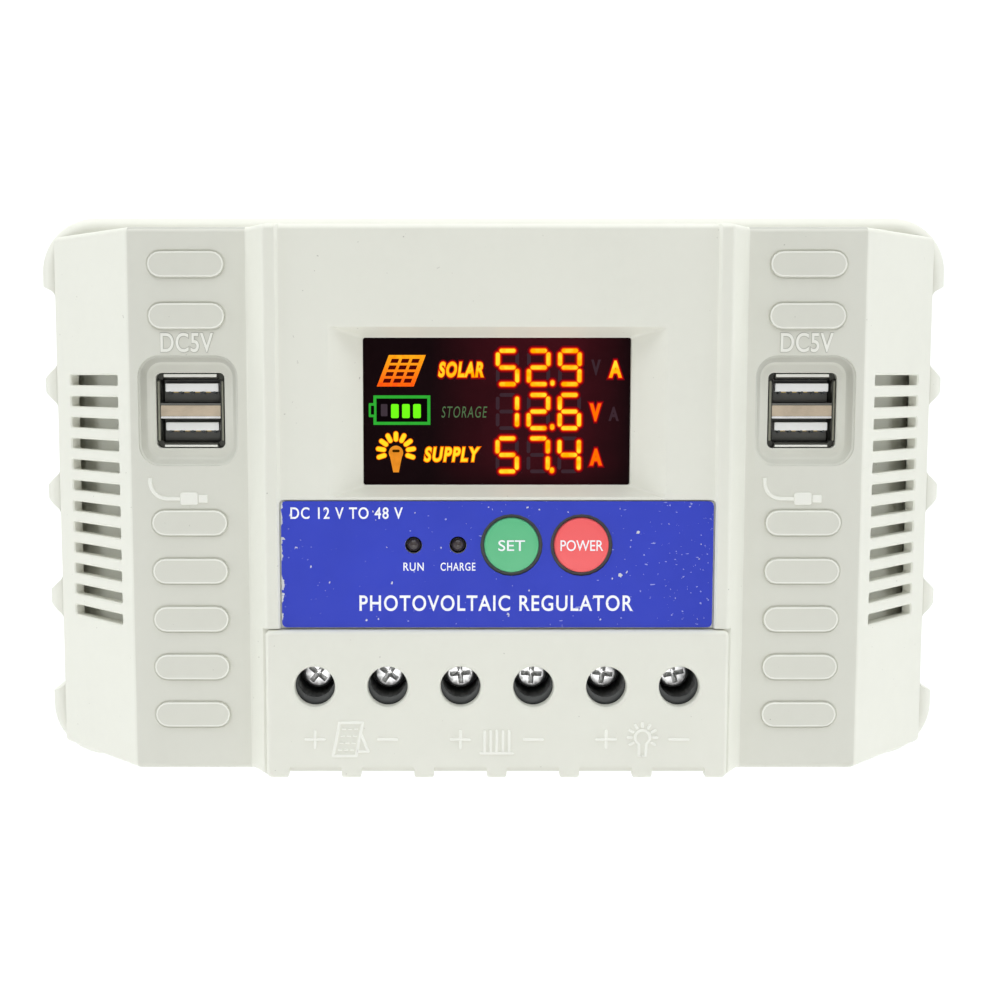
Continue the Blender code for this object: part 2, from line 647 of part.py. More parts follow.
def terminal_body_shapes():
    """One pole's housing: a shaft for the screwdriver, and a chamber that opens downwards.

    A step at the back of its lower end keeps clear of the base's rim.
    """
    half_width = POLE_PITCH / 2 - GAP / 2
    body = box((-half_width, half_width), (-48.9, MAIN_BOARD_Y[0] - GAP), (BODY_BOTTOM, -31.0))
    chamber_front = -38.3
    cut = [
        rod(SHAFT_RADIUS, -50.0, SCREW_SEAT_Y, (0.0, SCREW_Z)),
        rod(2.4, SCREW_SEAT_Y - 1, chamber_front + 1, (0.0, SCREW_Z), sides=SMALL_ROUND),
        box((-6.2, 6.2), (chamber_front, -19.8), (-57.0, -33.3)),
        box((-4.2, 4.2), (BAR_Y[0] - 0.2, BAR_Y[1] + 0.2), (-34.0, -30.0)),
        box((-8, 8), (-BASE_DEPTH - 2 * GAP, -10), (BODY_BOTTOM - 1, BODY_BOTTOM + GAP)),
    ]
    return body, cut


def terminal_screw_shape():
    """Measured from the middle of its seat, along the way it points."""
    head = SCREW_HEAD_Y - SCREW_SEAT_Y
    radius = SCREW_HEAD_RADIUS
    under = -0.2
    tip = SCREW_TIP_Y - SCREW_SEAT_Y
    return [
        (radius - 0.9, head),
        (radius - 0.3, head + 0.4),
        (radius, head + 1.1),
        (radius, under),
        (SCREW_RADIUS, under),
        (SCREW_RADIUS, tip - 0.5),
        (SCREW_RADIUS - 0.5, tip),
    ]


def cage_shapes():
    """A frame round the bar and the wire. The screw draws it forward by the thread in its front."""
    outer = box((-CAGE_HALF_WIDTH, CAGE_HALF_WIDTH), CAGE_Y, CAGE_Z)
    window = (CAGE_Y[0] + 2.5, CAGE_Y[1] - 1.5)
    cut = [
        box((-4.4, 4.4), window, (CAGE_Z[0] - 1, CAGE_Z[1] + 1)),
        rod(SCREW_RADIUS + 0.12, CAGE_Y[0] - 1, window[0] + 1, (0.0, SCREW_Z), sides=SMALL_ROUND),
    ]
    return outer, cut


def bar_outline():
    """The current bar's side view: down through the cage, and back to the main board at its top."""
    front, back = BAR_Y
    foot = MAIN_BOARD_Y[0] - GAP
    return [(front, -46.0), (back, -46.0), (back, -29.5), (foot, -29.5), (foot, -28.0), (front, -28.0)]


def make_terminals(black, chrome, plated, copper):
    body, body_cut = terminal_body_shapes()
    cage, cage_cut = cage_shapes()
    screw = turned(terminal_screw_shape())
    head = SCREW_HEAD_Y - SCREW_SEAT_Y
    recess = cross_recess(head - 1, head + 1.6, 2.4, 0.5)
    bar = prism(bar_outline(), "X", -3.9, 3.9)
    firsts = {}
    for pole in range(POLE_COUNT):
        x = pole_x(pole)
        number = pole + 1
        if not firsts:
            firsts["terminal_body"] = solid("terminal_body_1", black, body, cut=body_cut, at=(x, 0, 0))
            firsts["clamp_cage"] = solid("clamp_cage_1", plated, cage, cut=cage_cut, at=(x, 0, 0))
            firsts["current_bar"] = solid("current_bar_1", copper, bar, at=(x, 0, 0))
            seat = (x, SCREW_SEAT_Y, SCREW_Z)
            firsts["terminal_screw"] = solid("terminal_screw_1", chrome, screw, cut=recess, at=seat)
        else:
            for name, first in firsts.items():
                place = (x, SCREW_SEAT_Y, SCREW_Z) if name == "terminal_screw" else (x, 0, 0)
                copies([f"{name}_{number}"], first, [place])
        turned_screw = bpy.data.objects[f"terminal_screw_{number}"]
        turned_screw.rotation_euler.y = math.radians(SCREW_TURNS[pole])


def make_controller():
    for obj in list(bpy.data.objects):
        bpy.data.objects.remove(obj)

    shell_plastic = finish("shell_plastic", (0.74, 0.74, 0.67), 0.55)
    black_plastic = finish("black_plastic", (0.035, 0.035, 0.04), 0.45)
    laminate = finish("board_laminate", (0.03, 0.16, 0.07), 0.5)
    steel = finish("steel", (0.72, 0.7, 0.66), 0.3, 1.0)

    make_rear_base(shell_plastic)
    make_front_cover(shell_plastic)
    make_terminal_cover(shell_plastic)
    make_label(finish("label_blue", (0.045, 0.07, 0.46), 0.4))
    make_button("menu", BUTTON_X["menu"], finish("button_green", (0.08, 0.45, 0.2), 0.45))
    make_button("power", BUTTON_X["power"], finish("button_red", (0.8, 0.09, 0.08), 0.45))
    resin = finish("lamp_resin", (0.12, 0.1, 0.1), 0.3)
    for name, x in LAMP_X.items():
        make_lamp(name, x, resin)
    for name, x in BUTTON_X.items():
        make_switch(name, x, black_plastic)
    make_display(finish("smoked_window", (0.02, 0.01, 0.01), 0.08), black_plastic)
    make_boards(laminate)
    nylon = finish("usb_nylon", (0.85, 0.85, 0.84), 0.5)
    make_usb_socket("left", -USB_X, steel, nylon)
    make_usb_socket("right", USB_X, steel, nylon)
    make_heat_sink(finish("aluminium", (0.8, 0.8, 0.82), 0.35, 1.0))
    make_transistors(black_plastic)
    make_capacitors(finish("capacitor_sleeve", (0.03, 0.03, 0.05), 0.4))
    make_choke(finish("winding_copper", (0.6, 0.25, 0.1), 0.35, 1.0))
    make_fuses(finish("fuse_orange", (0.85, 0.35, 0.05), 0.3))
    make_ribbon_cable(finish("ribbon_grey", (0.45, 0.45, 0.47), 0.6))
    make_case_screws(steel)
    chrome = finish("screw_chrome", (0.8, 0.8, 0.8), 0.2, 1.0)
    plated = finish("zinc_plate", (0.65, 0.65, 0.62), 0.35, 1.0)
    tinned = finish("tinned_copper", (0.7, 0.66, 0.6), 0.35, 1.0)
    make_terminals(black_plastic, chrome, plated, tinned)


make_controller()
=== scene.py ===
"""The looks of the solar charge controller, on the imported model.

The housing, terminal cover, buttons, lamps, sockets and terminal screws are remade here with round
edges, and the display, the print and the raised markings are added. What stays hidden inside keeps
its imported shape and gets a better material. Lengths are in millimetres unless a name says
otherwise; new_mesh() turns them into metres. The front faces -Y and +Z is up.
"""

import math

import bmesh
import bpy
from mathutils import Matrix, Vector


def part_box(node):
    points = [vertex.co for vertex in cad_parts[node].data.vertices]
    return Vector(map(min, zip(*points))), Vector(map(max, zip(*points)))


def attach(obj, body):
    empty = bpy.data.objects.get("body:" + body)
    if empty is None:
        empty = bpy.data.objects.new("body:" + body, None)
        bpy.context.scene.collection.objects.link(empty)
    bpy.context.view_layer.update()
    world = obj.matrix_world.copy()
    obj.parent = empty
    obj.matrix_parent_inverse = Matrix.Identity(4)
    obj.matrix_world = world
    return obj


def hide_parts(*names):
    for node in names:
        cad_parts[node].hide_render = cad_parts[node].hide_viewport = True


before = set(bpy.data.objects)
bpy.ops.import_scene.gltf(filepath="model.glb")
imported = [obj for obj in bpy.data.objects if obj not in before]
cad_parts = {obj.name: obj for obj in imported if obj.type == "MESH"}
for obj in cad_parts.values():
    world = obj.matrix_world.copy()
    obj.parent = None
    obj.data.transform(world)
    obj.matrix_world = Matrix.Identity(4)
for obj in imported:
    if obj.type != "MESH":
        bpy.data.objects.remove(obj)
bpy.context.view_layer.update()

MM = 0.001
SMOOTH = 64  # sides of a round piece
SKIN = 0.02  # thickness of a printed layer


def extent(node):
    """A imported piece's lowest and highest corners, in millimetres."""
    low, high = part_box(node)
    return [value / MM for value in low], [value / MM for value in high]


def centre_of(node):
    """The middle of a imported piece, seen from the front."""
    low, high = extent(node)
    return (low[0] + high[0]) / 2, (low[2] + high[2]) / 2


# --- Shapes: each is (vertices, faces) in millimetres


def placed(u, v, along, axis):
    """The point whose place across the axis is (u, v), in X, Y, Z order, and along it is along."""
    return {"X": (along, u, v), "Y": (u, along, v), "Z": (u, v, along)}[axis]


def walls(count, near, far):
    """The faces between two rings whose points are numbered from near and from far."""
    sides = [(i, (i + 1) % count) for i in range(count)]
    return [(near + i, near + j, far + j, far + i) for i, j in sides]


def loft(rings):
    """A closed solid through rings that have the same number of points."""
    count = len(rings[0])
    vertices = [point for ring in rings for point in ring]
    faces = [tuple(range(count)), tuple(range(len(vertices) - count, len(vertices)))]
    for start in range(0, len(vertices) - count, count):
        faces += walls(count, start, start + count)
    return vertices, faces


def flat_rings(outlines, axis="Y"):
    """A closed solid through (outline, place along the axis) pairs."""
    return loft([[placed(u, v, along, axis) for u, v in outline] for outline, along in outlines])


def prism(outline, axis, low, high):
    return flat_rings([(outline, low), (outline, high)], axis)


def box(x, y, z):
    outline = [(x[0], z[0]), (x[1], z[0]), (x[1], z[1]), (x[0], z[1])]
    return prism(outline, "Y", y[0], y[1])


def circle(radius, centre=(0.0, 0.0), sides=SMOOTH):
    steps = [2 * math.pi * i / sides for i in range(sides)]
    return [(centre[0] + radius * math.cos(a), centre[1] + radius * math.sin(a)) for a in steps]


def turned(profile, centre=(0.0, 0.0), sides=SMOOTH):
    """A solid turned about a line along Y, from (radius, place along Y) pairs."""
    return flat_rings([(circle(radius, centre, sides), y) for radius, y in profile])


def polar(centre, radius, angle):
    """The point at a radius from a centre, at an angle in degrees."""
    turn = math.radians(angle)
    return centre[0] + radius * math.cos(turn), centre[1] + radius * math.sin(turn)


def arc(centre, radius, start, end, steps):
    return [polar(centre, radius, start + (end - start) * i / steps) for i in range(steps + 1)]


def rounded(half_width, half_height, radius, centre=(0.0, 0.0), steps=8):
    """A rectangle with round corners, as an outline."""
    points = []
    for turn, (sx, sz) in enumerate(((1, 1), (-1, 1), (-1, -1), (1, -1))):
        corner = (centre[0] + sx * (half_width - radius), centre[1] + sz * (half_height - radius))
        points += arc(corner, radius, 90 * turn, 90 * turn + 90, steps)
    return points


def filleted(corners, steps=5):
    """An outline whose corners, (x, y, radius), are rounded."""
    points = []
    for i, (x, y, radius) in enumerate(corners):
        if radius == 0:
            points.append((x, y))
            continue
        before, after = corners[i - 1], corners[(i + 1) % len(corners)]
        back = math.atan2(before[1] - y, before[0] - x)
        ahead = math.atan2(after[1] - y, after[0] - x)
        turn = (ahead - back + math.pi) % (2 * math.pi) - math.pi
        reach = radius / math.sin(abs(turn) / 2)
        middle = back + turn / 2
        centre = (x + reach * math.cos(middle), y + reach * math.sin(middle))
        side = math.copysign(90, turn)
        start = math.degrees(back) - side
        points += arc(centre, radius, start, start + math.degrees(turn) - 2 * side, steps)
    return points


def inset(outline, distance):
    """The outline moved inwards by a distance."""
    area = sum(a[0] * b[1] - b[0] * a[1] for a, b in zip(outline, outline[1:] + outline[:1]))
    inward = math.copysign(distance, area)
    points = []
    for i, (x, y) in enumerate(outline):
        before, after = outline[i - 1], outline[(i + 1) % len(outline)]
        normals = []
        for start, end in ((before, (x, y)), ((x, y), after)):
            length = math.hypot(end[0] - start[0], end[1] - start[1])
            normals.append(((start[1] - end[1]) / length, (end[0] - start[0]) / length))
        across = [normals[0][0] + normals[1][0], normals[0][1] + normals[1][1]]
        spread = 1 + normals[0][0] * normals[1][0] + normals[0][1] * normals[1][1]
        points.append((x + inward * across[0] / spread, y + inward * across[1] / spread))
    return points


def edge_rings(outline, end, inner, radius, shrunk=inset, steps=4):
    """(outline, place) pairs that round a bar's end: from the shrunk outline at the end inwards."""
    direction = math.copysign(1, inner - end)
    rings = []
    for i in range(steps + 1):
        angle = math.pi / 2 * i / steps
        ring = shrunk(outline, radius * (1 - math.sin(angle)))
        rings.append((ring, end + direction * radius * (1 - math.cos(angle))))
    return rings


def rounded_bar(outline, axis, low, high, low_radius, high_radius):
    """A prism whose edges at its two ends are rounded. A radius of 0 keeps an end sharp."""
    rings = edge_rings(outline, low, high, low_radius) if low_radius else [(outline, low)]
    top = edge_rings(outline, high, low, high_radius) if high_radius else [(outline, high)]
    return flat_rings(rings + top[::-1], axis)


def stadium(start, end, half_width, steps=8):
    """The outline of a stroke with round ends, in X and Z."""
    angle = math.degrees(math.atan2(end[1] - start[1], end[0] - start[0]))
    first = arc(end, half_width, angle - 90, angle + 90, steps)
    return first + arc(start, half_width, angle + 90, angle + 270, steps)


def raised(outline, width, y, height):
    """A mark on a face at y with sloped sides. Its outline is a function of half the width."""
    foot, top = outline(width / 2), outline(width / 2 - height * 0.5)
    return flat_rings([(foot, y + 0.2), (foot, y - height * 0.4), (top, y - height)])


def stroke(start, end, width, y, height):
    """A raised line on a face at y."""
    return raised(lambda half_width: stadium(start, end, half_width), width, y, height)


def band(outer, inner, low, high):
    """A flat ring between two outlines, from low to high along Y."""
    rings = []
    for outline, y in ((outer, low), (outer, high), (inner, high), (inner, low)):
        rings.append([placed(u, v, y, "Y") for u, v in outline])
    count, total = len(outer), 4 * len(outer)
    faces = []
    for start in range(0, total, count):
        faces += walls(count, start, (start + count) % total)
    return [point for ring in rings for point in ring], faces


def ribbon(points, width, y, height):
    """A raised line on a face at y that follows a curve, in one piece."""

    def outline(half_width):
        sides = ([], [])
        for i, (x, z) in enumerate(points):
            before, after = points[max(i - 1, 0)], points[min(i + 1, len(points) - 1)]
            length = math.hypot(after[0] - before[0], after[1] - before[1])
            across = ((before[1] - after[1]) / length, (after[0] - before[0]) / length)
            for side, sign in zip(sides, (1, -1)):
                side.append((x + sign * half_width * across[0], z + sign * half_width * across[1]))
        return sides[0] + sides[1][::-1]

    return raised(outline, width, y, height)


def polyline(points, width, y, height, closed=False):
    """Strokes from point to point. Every other one is a little lower, so that no tops coincide."""
    pairs = list(zip(points, points[1:] + points[:1]))
    lines = pairs if closed else pairs[:-1]
    return [stroke(a, b, width, y, height - 0.015 * (i % 2)) for i, (a, b) in enumerate(lines)]


def lettering(words, centre, size, y, height, weight=0.0, slant=0.0, growth=0.0, spacing=1.0):
    """Words fitted to size = (width, height) on a face at y. Growth swells the letters about
    their lines without moving them."""

    def outline_mesh(offset):
        curve = bpy.data.curves.new("words", "FONT")
        curve.body = words
        curve.extrude = 0.5
        curve.offset = offset
        curve.shear = slant
        curve.space_character = spacing
        curve.resolution_u = 6
        helper = bpy.data.objects.new("words", curve)
        bpy.context.scene.collection.objects.link(helper)
        graph = bpy.context.evaluated_depsgraph_get()
        mesh = bpy.data.meshes.new_from_object(helper.evaluated_get(graph))
        bpy.data.objects.remove(helper)
        return mesh

    plain = outline_mesh(weight)
    low = [min(vertex.co[i] for vertex in plain.vertices) for i in (0, 1)]
    high = [max(vertex.co[i] for vertex in plain.vertices) for i in (0, 1)]
    scale = [size[i] / (high[i] - low[i]) for i in (0, 1)]
    swollen = outline_mesh(weight + growth / math.sqrt(scale[0] * scale[1])) if growth else plain
    vertices = []
    for vertex in swollen.vertices:
        x = centre[0] + (vertex.co.x - (low[0] + high[0]) / 2) * scale[0]
        z = centre[1] + (vertex.co.y - (low[1] + high[1]) / 2) * scale[1]
        vertices.append((x, y - height * (vertex.co.z + 0.5), z))
    return vertices, [tuple(face.vertices) for face in swollen.polygons]


# --- Objects


def new_mesh(name, shapes):
    work = bmesh.new()
    for vertices, faces in shapes:
        made = [work.verts.new([value * MM for value in point]) for point in vertices]
        for face in faces:
            try:
                work.faces.new([made[i] for i in face])
            except ValueError:
                continue
    bmesh.ops.recalc_face_normals(work, faces=work.faces)
    mesh = bpy.data.meshes.new(name)
    work.to_mesh(mesh)
    work.free()
    return mesh


def new_object(name, mesh):
    obj = bpy.data.objects.new(name, mesh)
    bpy.context.scene.collection.objects.link(obj)
    return obj


def shape_of(obj):
    """An object's evaluated mesh as a shape."""
    graph = bpy.context.evaluated_depsgraph_get()
    mesh = bpy.data.meshes.new_from_object(obj.evaluated_get(graph))
    points = [tuple(value / MM for value in vertex.co) for vertex in mesh.vertices]
    return points, [tuple(face.vertices) for face in mesh.polygons]


def carved(name, base, cut, add=()):
    """The shape of base with those in add joined on, and then those in cut taken away."""
    blank = new_object(name, new_mesh(name, [base]))
    tools = []
    for operation, shapes in (("UNION", list(add)), ("DIFFERENCE", list(cut))):
        if shapes:
            tool = new_object(name + "_tool", new_mesh(name + "_tool", shapes))
            modifier = blank.modifiers.new(operation.lower(), "BOOLEAN")
            modifier.operation = operation
            modifier.object = tool
            modifier.use_self = True
            tools.append(tool)
    shape = shape_of(blank)
    for helper in (blank, *tools):
        bpy.data.objects.remove(helper)
    return shape


def piece(name, shapes, material, body="housing", stands_for=(), sharp=35):
    """A finished piece that rides on a body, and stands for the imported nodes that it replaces."""
    mesh = new_mesh(name, shapes)
    mesh.shade_smooth()
    mesh.set_sharp_from_angle(angle=math.radians(sharp))
    mesh.materials.append(material)
    obj = new_object(name, mesh)
    weighted = obj.modifiers.new("weighted", "WEIGHTED_NORMAL")
    weighted.keep_sharp = True
    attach(obj, body)
    if stands_for:
        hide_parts(*stands_for)
    return obj


# --- Materials


class Finish:
    """A Principled material and the nodes that vary it. Scales and depths are in millimetres."""

    def __init__(self, name, roughness=0.5, metallic=0.0, **values):
        self.material = bpy.data.materials.new(name)
        self.material.use_nodes = True
        self.nodes = self.material.node_tree.nodes
        self.links = self.material.node_tree.links
        self.surface = self.nodes["Principled BSDF"]
        self.surface.inputs["Roughness"].default_value = roughness
        self.surface.inputs["Metallic"].default_value = metallic
        for key, value in values.items():
            self.surface.inputs[key.replace("_", " ")].default_value = value
        self.place = self.nodes.new("ShaderNodeTexCoord").outputs["Object"]

    def put(self, socket, value):
        if isinstance(value, bpy.types.NodeSocket):
            self.links.new(value, socket)
        elif isinstance(value, tuple) and len(value) == 3 and socket.type == "RGBA":
            socket.default_value = (*value, 1.0)
        else:
            socket.default_value = value

    def node(self, kind, output, inputs, **settings):
        """An output of a new node, whose inputs are set or linked."""
        new = self.nodes.new("ShaderNode" + kind)
        for key, value in settings.items():
            setattr(new, key, value)
        for key, value in inputs.items():
            self.put(new.inputs[key], value)
        return new.outputs[output]

    def stretched(self, scale):
        """The place, scaled along each axis."""
        return self.node("Mapping", "Vector", {"Vector": self.place, "Scale": scale})

    def noise(self, size, detail=2.0, place=None):
        inputs = {"Vector": place or self.place, "Scale": 1 / (size * MM), "Detail": detail}
        return self.node("TexNoise", "Fac", inputs)

    def cells(self, size, place):
        return self.node("TexVoronoi", "Distance", {"Vector": place, "Scale": 1 / (size * MM)})

    def along(self, axis):
        """The place along an axis, in metres."""
        return self.node("SeparateXYZ", axis, {0: self.place})

    def ramp(self, value, low, high, start=0.0, end=1.0):
        """Value low becomes start and high becomes end, and no further."""
        inputs = {"Value": value, "From Min": low, "From Max": high, "To Min": start, "To Max": end}
        return self.node("MapRange", "Result", inputs)

    def rise(self, axis, low, high, start=0.0, end=1.0):
        """A ramp from one place to another along an axis."""
        return self.ramp(self.along(axis), low * MM, high * MM, start, end)

    def maths(self, operation, first, second=0.0):
        return self.node("Math", "Value", {0: first, 1: second}, operation=operation)

    def times(self, first, second):
        return self.maths("MULTIPLY", first, second)

    def over(self, first, second, limit):
        """1 where the sum of two values is over a limit, and 0 elsewhere."""
        return self.maths("GREATER_THAN", self.maths("ADD", first, second), limit)

    def between(self, place, low, high):
        """1 where a place lies between two lengths, and 0 elsewhere."""
        above = self.maths("GREATER_THAN", place, low * MM)
        return self.times(above, self.maths("LESS_THAN", place, high * MM))

    def mix(self, amount, first, second):
        inputs = {"Factor": amount, "A": first, "B": second}
        return self.node("Mix", "Result", inputs, data_type="RGBA")

    def colour(self, value):
        self.put(self.surface.inputs["Base Color"], value)

    def roughness(self, value):
        self.put(self.surface.inputs["Roughness"], value)

    def glow(self, value, strength):
        self.put(self.surface.inputs["Emission Color"], value)
        self.put(self.surface.inputs["Emission Strength"], strength)

    def bump(self, height, depth, strength=1.0):
        inputs = {"Distance": depth * MM, "Strength": strength, "Height": height}
        normal = self.surface.inputs["Normal"]
        if normal.is_linked:
            inputs["Normal"] = normal.links[0].from_socket
        self.put(normal, self.node("Bump", "Normal", inputs))


def tinted(colour, amount):
    """A colour made lighter or darker by a share."""
    return tuple(min(1.0, value * (1 + amount)) for value in colour)


def moulded(name, colour, roughness=0.5, grain=0.35, specks=0.0, pillar_shade=False):
    """Injection-moulded plastic: spark-eroded grain, uneven gloss and, where asked, dirt specks.

    pillar_shade paints shade onto the pillars' faces, a little, and more onto the walls of the USB
    wells, most of all their upper walls.
    """
    made = Finish(name, roughness, Specular_IOR_Level=0.42)
    tone = made.mix(made.noise(28, 3), tinted(colour, -0.035), tinted(colour, 0.03))
    paler = made.mix(0.5, tone, tinted(colour, 0.02))
    tone = made.mix(made.ramp(made.noise(2.2, 4), 0.3, 0.7), tone, paler)
    if specks:
        dirt = made.ramp(made.noise(0.9, 1), 0.79, 0.84, 0.0, specks)
        tone = made.mix(dirt, tone, (0.16, 0.14, 0.11))
    if pillar_shade:
        # Painted shade: the pillars' faces a little darker, the wells' walls more, and most towards
        # their tops.
        pillars = made.between(made.maths("ABSOLUTE", made.along("X")), 53.4, 78.4)
        faces = made.times(made.between(made.along("Y"), -45.5, -40.5), 0.1)
        well = made.between(made.along("Y"), -43.75, -41.65)
        shade = made.maths("ADD", faces, made.times(well, made.rise("Z", 8.5, 30, 0.02, 0.22)))
        tone = made.mix(made.times(pillars, shade), tone, (0.02, 0.018, 0.01))
    made.colour(tone)
    made.roughness(made.ramp(made.noise(5, 4), 0.3, 0.7, roughness - 0.06, roughness + 0.08))
    made.bump(made.noise(grain, 3), 0.012, 0.5)
    made.bump(made.noise(14, 1), 0.05, 0.35)
    return made.material


def metal(name, colour, roughness, streak=(1, 1, 12), dull=0.0):
    """Metal with fine streaks across one axis, and patches where it has dulled."""
    made = Finish(name, roughness, 1.0)
    fine = made.noise(0.6, 3, made.stretched(streak))
    made.roughness(made.ramp(fine, 0.25, 0.75, roughness * 0.75, roughness * 1.4))
    patches = made.ramp(made.noise(3, 4), 0.45, 0.7, 0.0, 0.4 + dull)
    made.colour(made.mix(patches, colour, tinted(colour, -0.3 - dull)))
    made.bump(fine, 0.006, 0.6)
    return made.material


def printed_vinyl():
    """Blue overlay: faint mottling, white nicks mostly to the right, and a worn left edge."""
    made = Finish("label_print", 0.5, Specular_IOR_Level=0.15)
    blue = (0.039, 0.06, 0.51)
    tone = made.mix(made.noise(16, 3), tinted(blue, -0.1), tinted(blue, 0.1))
    nicks = made.over(made.noise(0.75, 2), made.rise("X", 12, 46, 0.0, 0.05), 0.745)
    streaks = made.noise(1.1, 2, made.stretched((0.55, 1, 1.7)))
    scratches = made.over(streaks, made.rise("X", 0, 50, 0.0, 0.05), 0.765)
    marks = made.maths("MAXIMUM", nicks, scratches)
    worn = made.over(made.noise(1.6, 3), made.rise("X", -45.6, -44.7, 0.24, 0.0), 0.73)
    tone = made.mix(made.times(marks, 0.55), tone, (0.55, 0.6, 0.85))
    made.colour(made.mix(worn, tone, (0.62, 0.63, 0.66)))
    made.roughness(made.ramp(made.noise(3, 3), 0.3, 0.7, 0.42, 0.6))
    made.bump(made.noise(0.5, 2), 0.008, 0.4)
    return made.material


def print_white():
    made = Finish("print_white", 0.5)
    patches = made.ramp(made.noise(0.7, 3), 0.35, 0.65)
    made.colour(made.mix(patches, (0.86, 0.87, 0.92), (0.98, 0.98, 1.0)))
    made.bump(made.noise(0.4, 2), 0.006, 0.3)
    return made.material


def lit(name, colour, strength, falloff=0.12, second=None, size=1.4):
    """A glowing segment, uneven like light behind a diffuser, or mixed with a second colour."""
    made = Finish(name, 0.4, Specular_IOR_Level=0.0)
    made.colour((0.0, 0.0, 0.0))
    patches = made.noise(size, 2)
    if second:
        uneven = made.mix(made.ramp(patches, 0.38, 0.62), colour, second)
    else:
        uneven = made.mix(patches, tinted(colour, -falloff), tinted(colour, falloff))
    made.glow(uneven, strength)
    return made.material


def smoked_glass():
    """The display window: near black, with the red light that spreads round the digits."""
    made = Finish("display_smoke", 0.12, Specular_IOR_Level=0.03)
    made.colour(made.mix(made.noise(9, 2), (0.004, 0.0015, 0.002), (0.008, 0.003, 0.004)))
    across = made.times(made.rise("X", -14, 4), made.rise("X", 29, 17))
    patches = made.ramp(made.noise(7, 2), 0.2, 0.8, 0.6, 1.2)
    amount = made.times(across, made.times(made.rise("Z", 1.5, 8), patches))
    made.glow(made.mix(amount, (0.0026, 0.001, 0.0012), (0.04, 0.0032, 0.006)), 1.0)
    made.roughness(made.ramp(made.noise(4, 3), 0.3, 0.7, 0.08, 0.16))
    return made.material


def laminate():
    """Circuit board: green mask over copper tracks, with tinned pads."""
    made = Finish("circuit_board", 0.4)
    tracks = made.cells(3.2, made.stretched((1, 0.01, 0.35)))
    tone = made.mix(made.ramp(tracks, 0.25, 0.3), (0.03, 0.16, 0.07), (0.02, 0.1, 0.045))
    pads = made.ramp(made.cells(2.6, made.stretched((1, 0.01, 1))), 0.1, 0.13, 1.0, 0.0)
    made.colour(made.mix(made.times(pads, 0.8), tone, (0.6, 0.58, 0.5)))
    made.bump(tracks, 0.03, 0.4)
    return made.material


def winding():
    made = Finish("enamelled_wire", 0.3, 1.0)
    inputs = {"Vector": made.place, "Scale": 300}
    turns = made.node("TexWave", "Fac", inputs, wave_type="RINGS", rings_direction="SPHERICAL")
    made.colour(made.mix(turns, (0.25, 0.08, 0.02), (0.75, 0.34, 0.12)))
    made.bump(turns, 0.4, 0.7)
    return made.material


shell_plastic = moulded("shell_moulding", (0.745, 0.745, 0.665), 0.48, specks=0.5, pillar_shade=True)
# A darker copy of the shell plastic, for painted shadow.
shaded_plastic = moulded("shaded_moulding", (0.47, 0.47, 0.42), 0.5)
# Dark grey for painted shade inside the sockets.
socket_shade_grey = moulded("socket_painted_shade", (0.12, 0.12, 0.11), 0.5)
side_lip_metal = metal("socket_side_lip", (0.3, 0.3, 0.24), 0.42)
# Painted highlight: a lighter copy of the shell plastic, for the lit tops of raised signs, pad rims and
# socket lips.
highlit_plastic = moulded("highlit_moulding", (0.83, 0.83, 0.765), 0.42)
black_plastic = moulded("black_moulding", (0.06, 0.064, 0.063), 0.42)
# Painted reflection: the socket shell's steel made dark, for the dark surroundings it reflects.
steel_with_painted_reflection = metal("socket_rim", (0.085, 0.085, 0.075), 0.38, dull=0.1)
divider_metal = metal("socket_divider", (0.62, 0.52, 0.4), 0.5)
bright_nickel = metal("bright_nickel", (0.92, 0.92, 0.91), 0.36)
plated_steel = metal("plated_steel", (0.62, 0.61, 0.57), 0.34)
gold = metal("contact_gold", (0.75, 0.55, 0.22), 0.3)
nylon = moulded("socket_nylon", (0.88, 0.88, 0.86), 0.4)
white_ink = print_white()


# --- Housing


def shell_piece(name, shapes, stands_for=(), material=shell_plastic):
    return piece(name, shapes, material, stands_for=stands_for)


BASE_LOW, BASE_HIGH = extent("rear_base")
COVER_LOW, COVER_HIGH = extent("front_cover")
SIDE_EDGES = (47.2, 24.55, 0.0, -24.55, -47.2)  # an ear's end, three ribs and the other ear's end
RIB_HALF = 1.3
COVER_WALL = 2.2
PILLAR_Y = -44.0
PILLAR_OUTER = 78.6
PILLAR_INNER = 53.2
BEAD_Y = COVER_LOW[1]
BEAD_OUTER = 48.9
BEAD_INNER = 46.4
PANEL_Y = BEAD_Y + 0.8
WINDOW_LOW, WINDOW_HIGH = extent("display_window")
WINDOW_Z = (WINDOW_LOW[2] + WINDOW_HIGH[2]) / 2
CASE_SCREWS = [centre_of(f"case_screw_{i}") for i in range(1, 5)]
USB_CENTRES = {side: centre_of(f"usb_shell_{side}") for side in ("left", "right")}
USB_FRONT = extent("usb_shell_left")[0][1]
PAD_Z = (50.3, 39.4, -4.8, -15.3, -25.8, -36.3, -46.8)
PAD_REACH = 5.4  # from a pad's middle to the centres of its round ends
PAD_RADIUS = 2.65
VENT_PITCH = 4.76
VENT_TOP_Z = 25.75
GUARD_Z = (-30.0, 29.0)  # the plates behind the vents


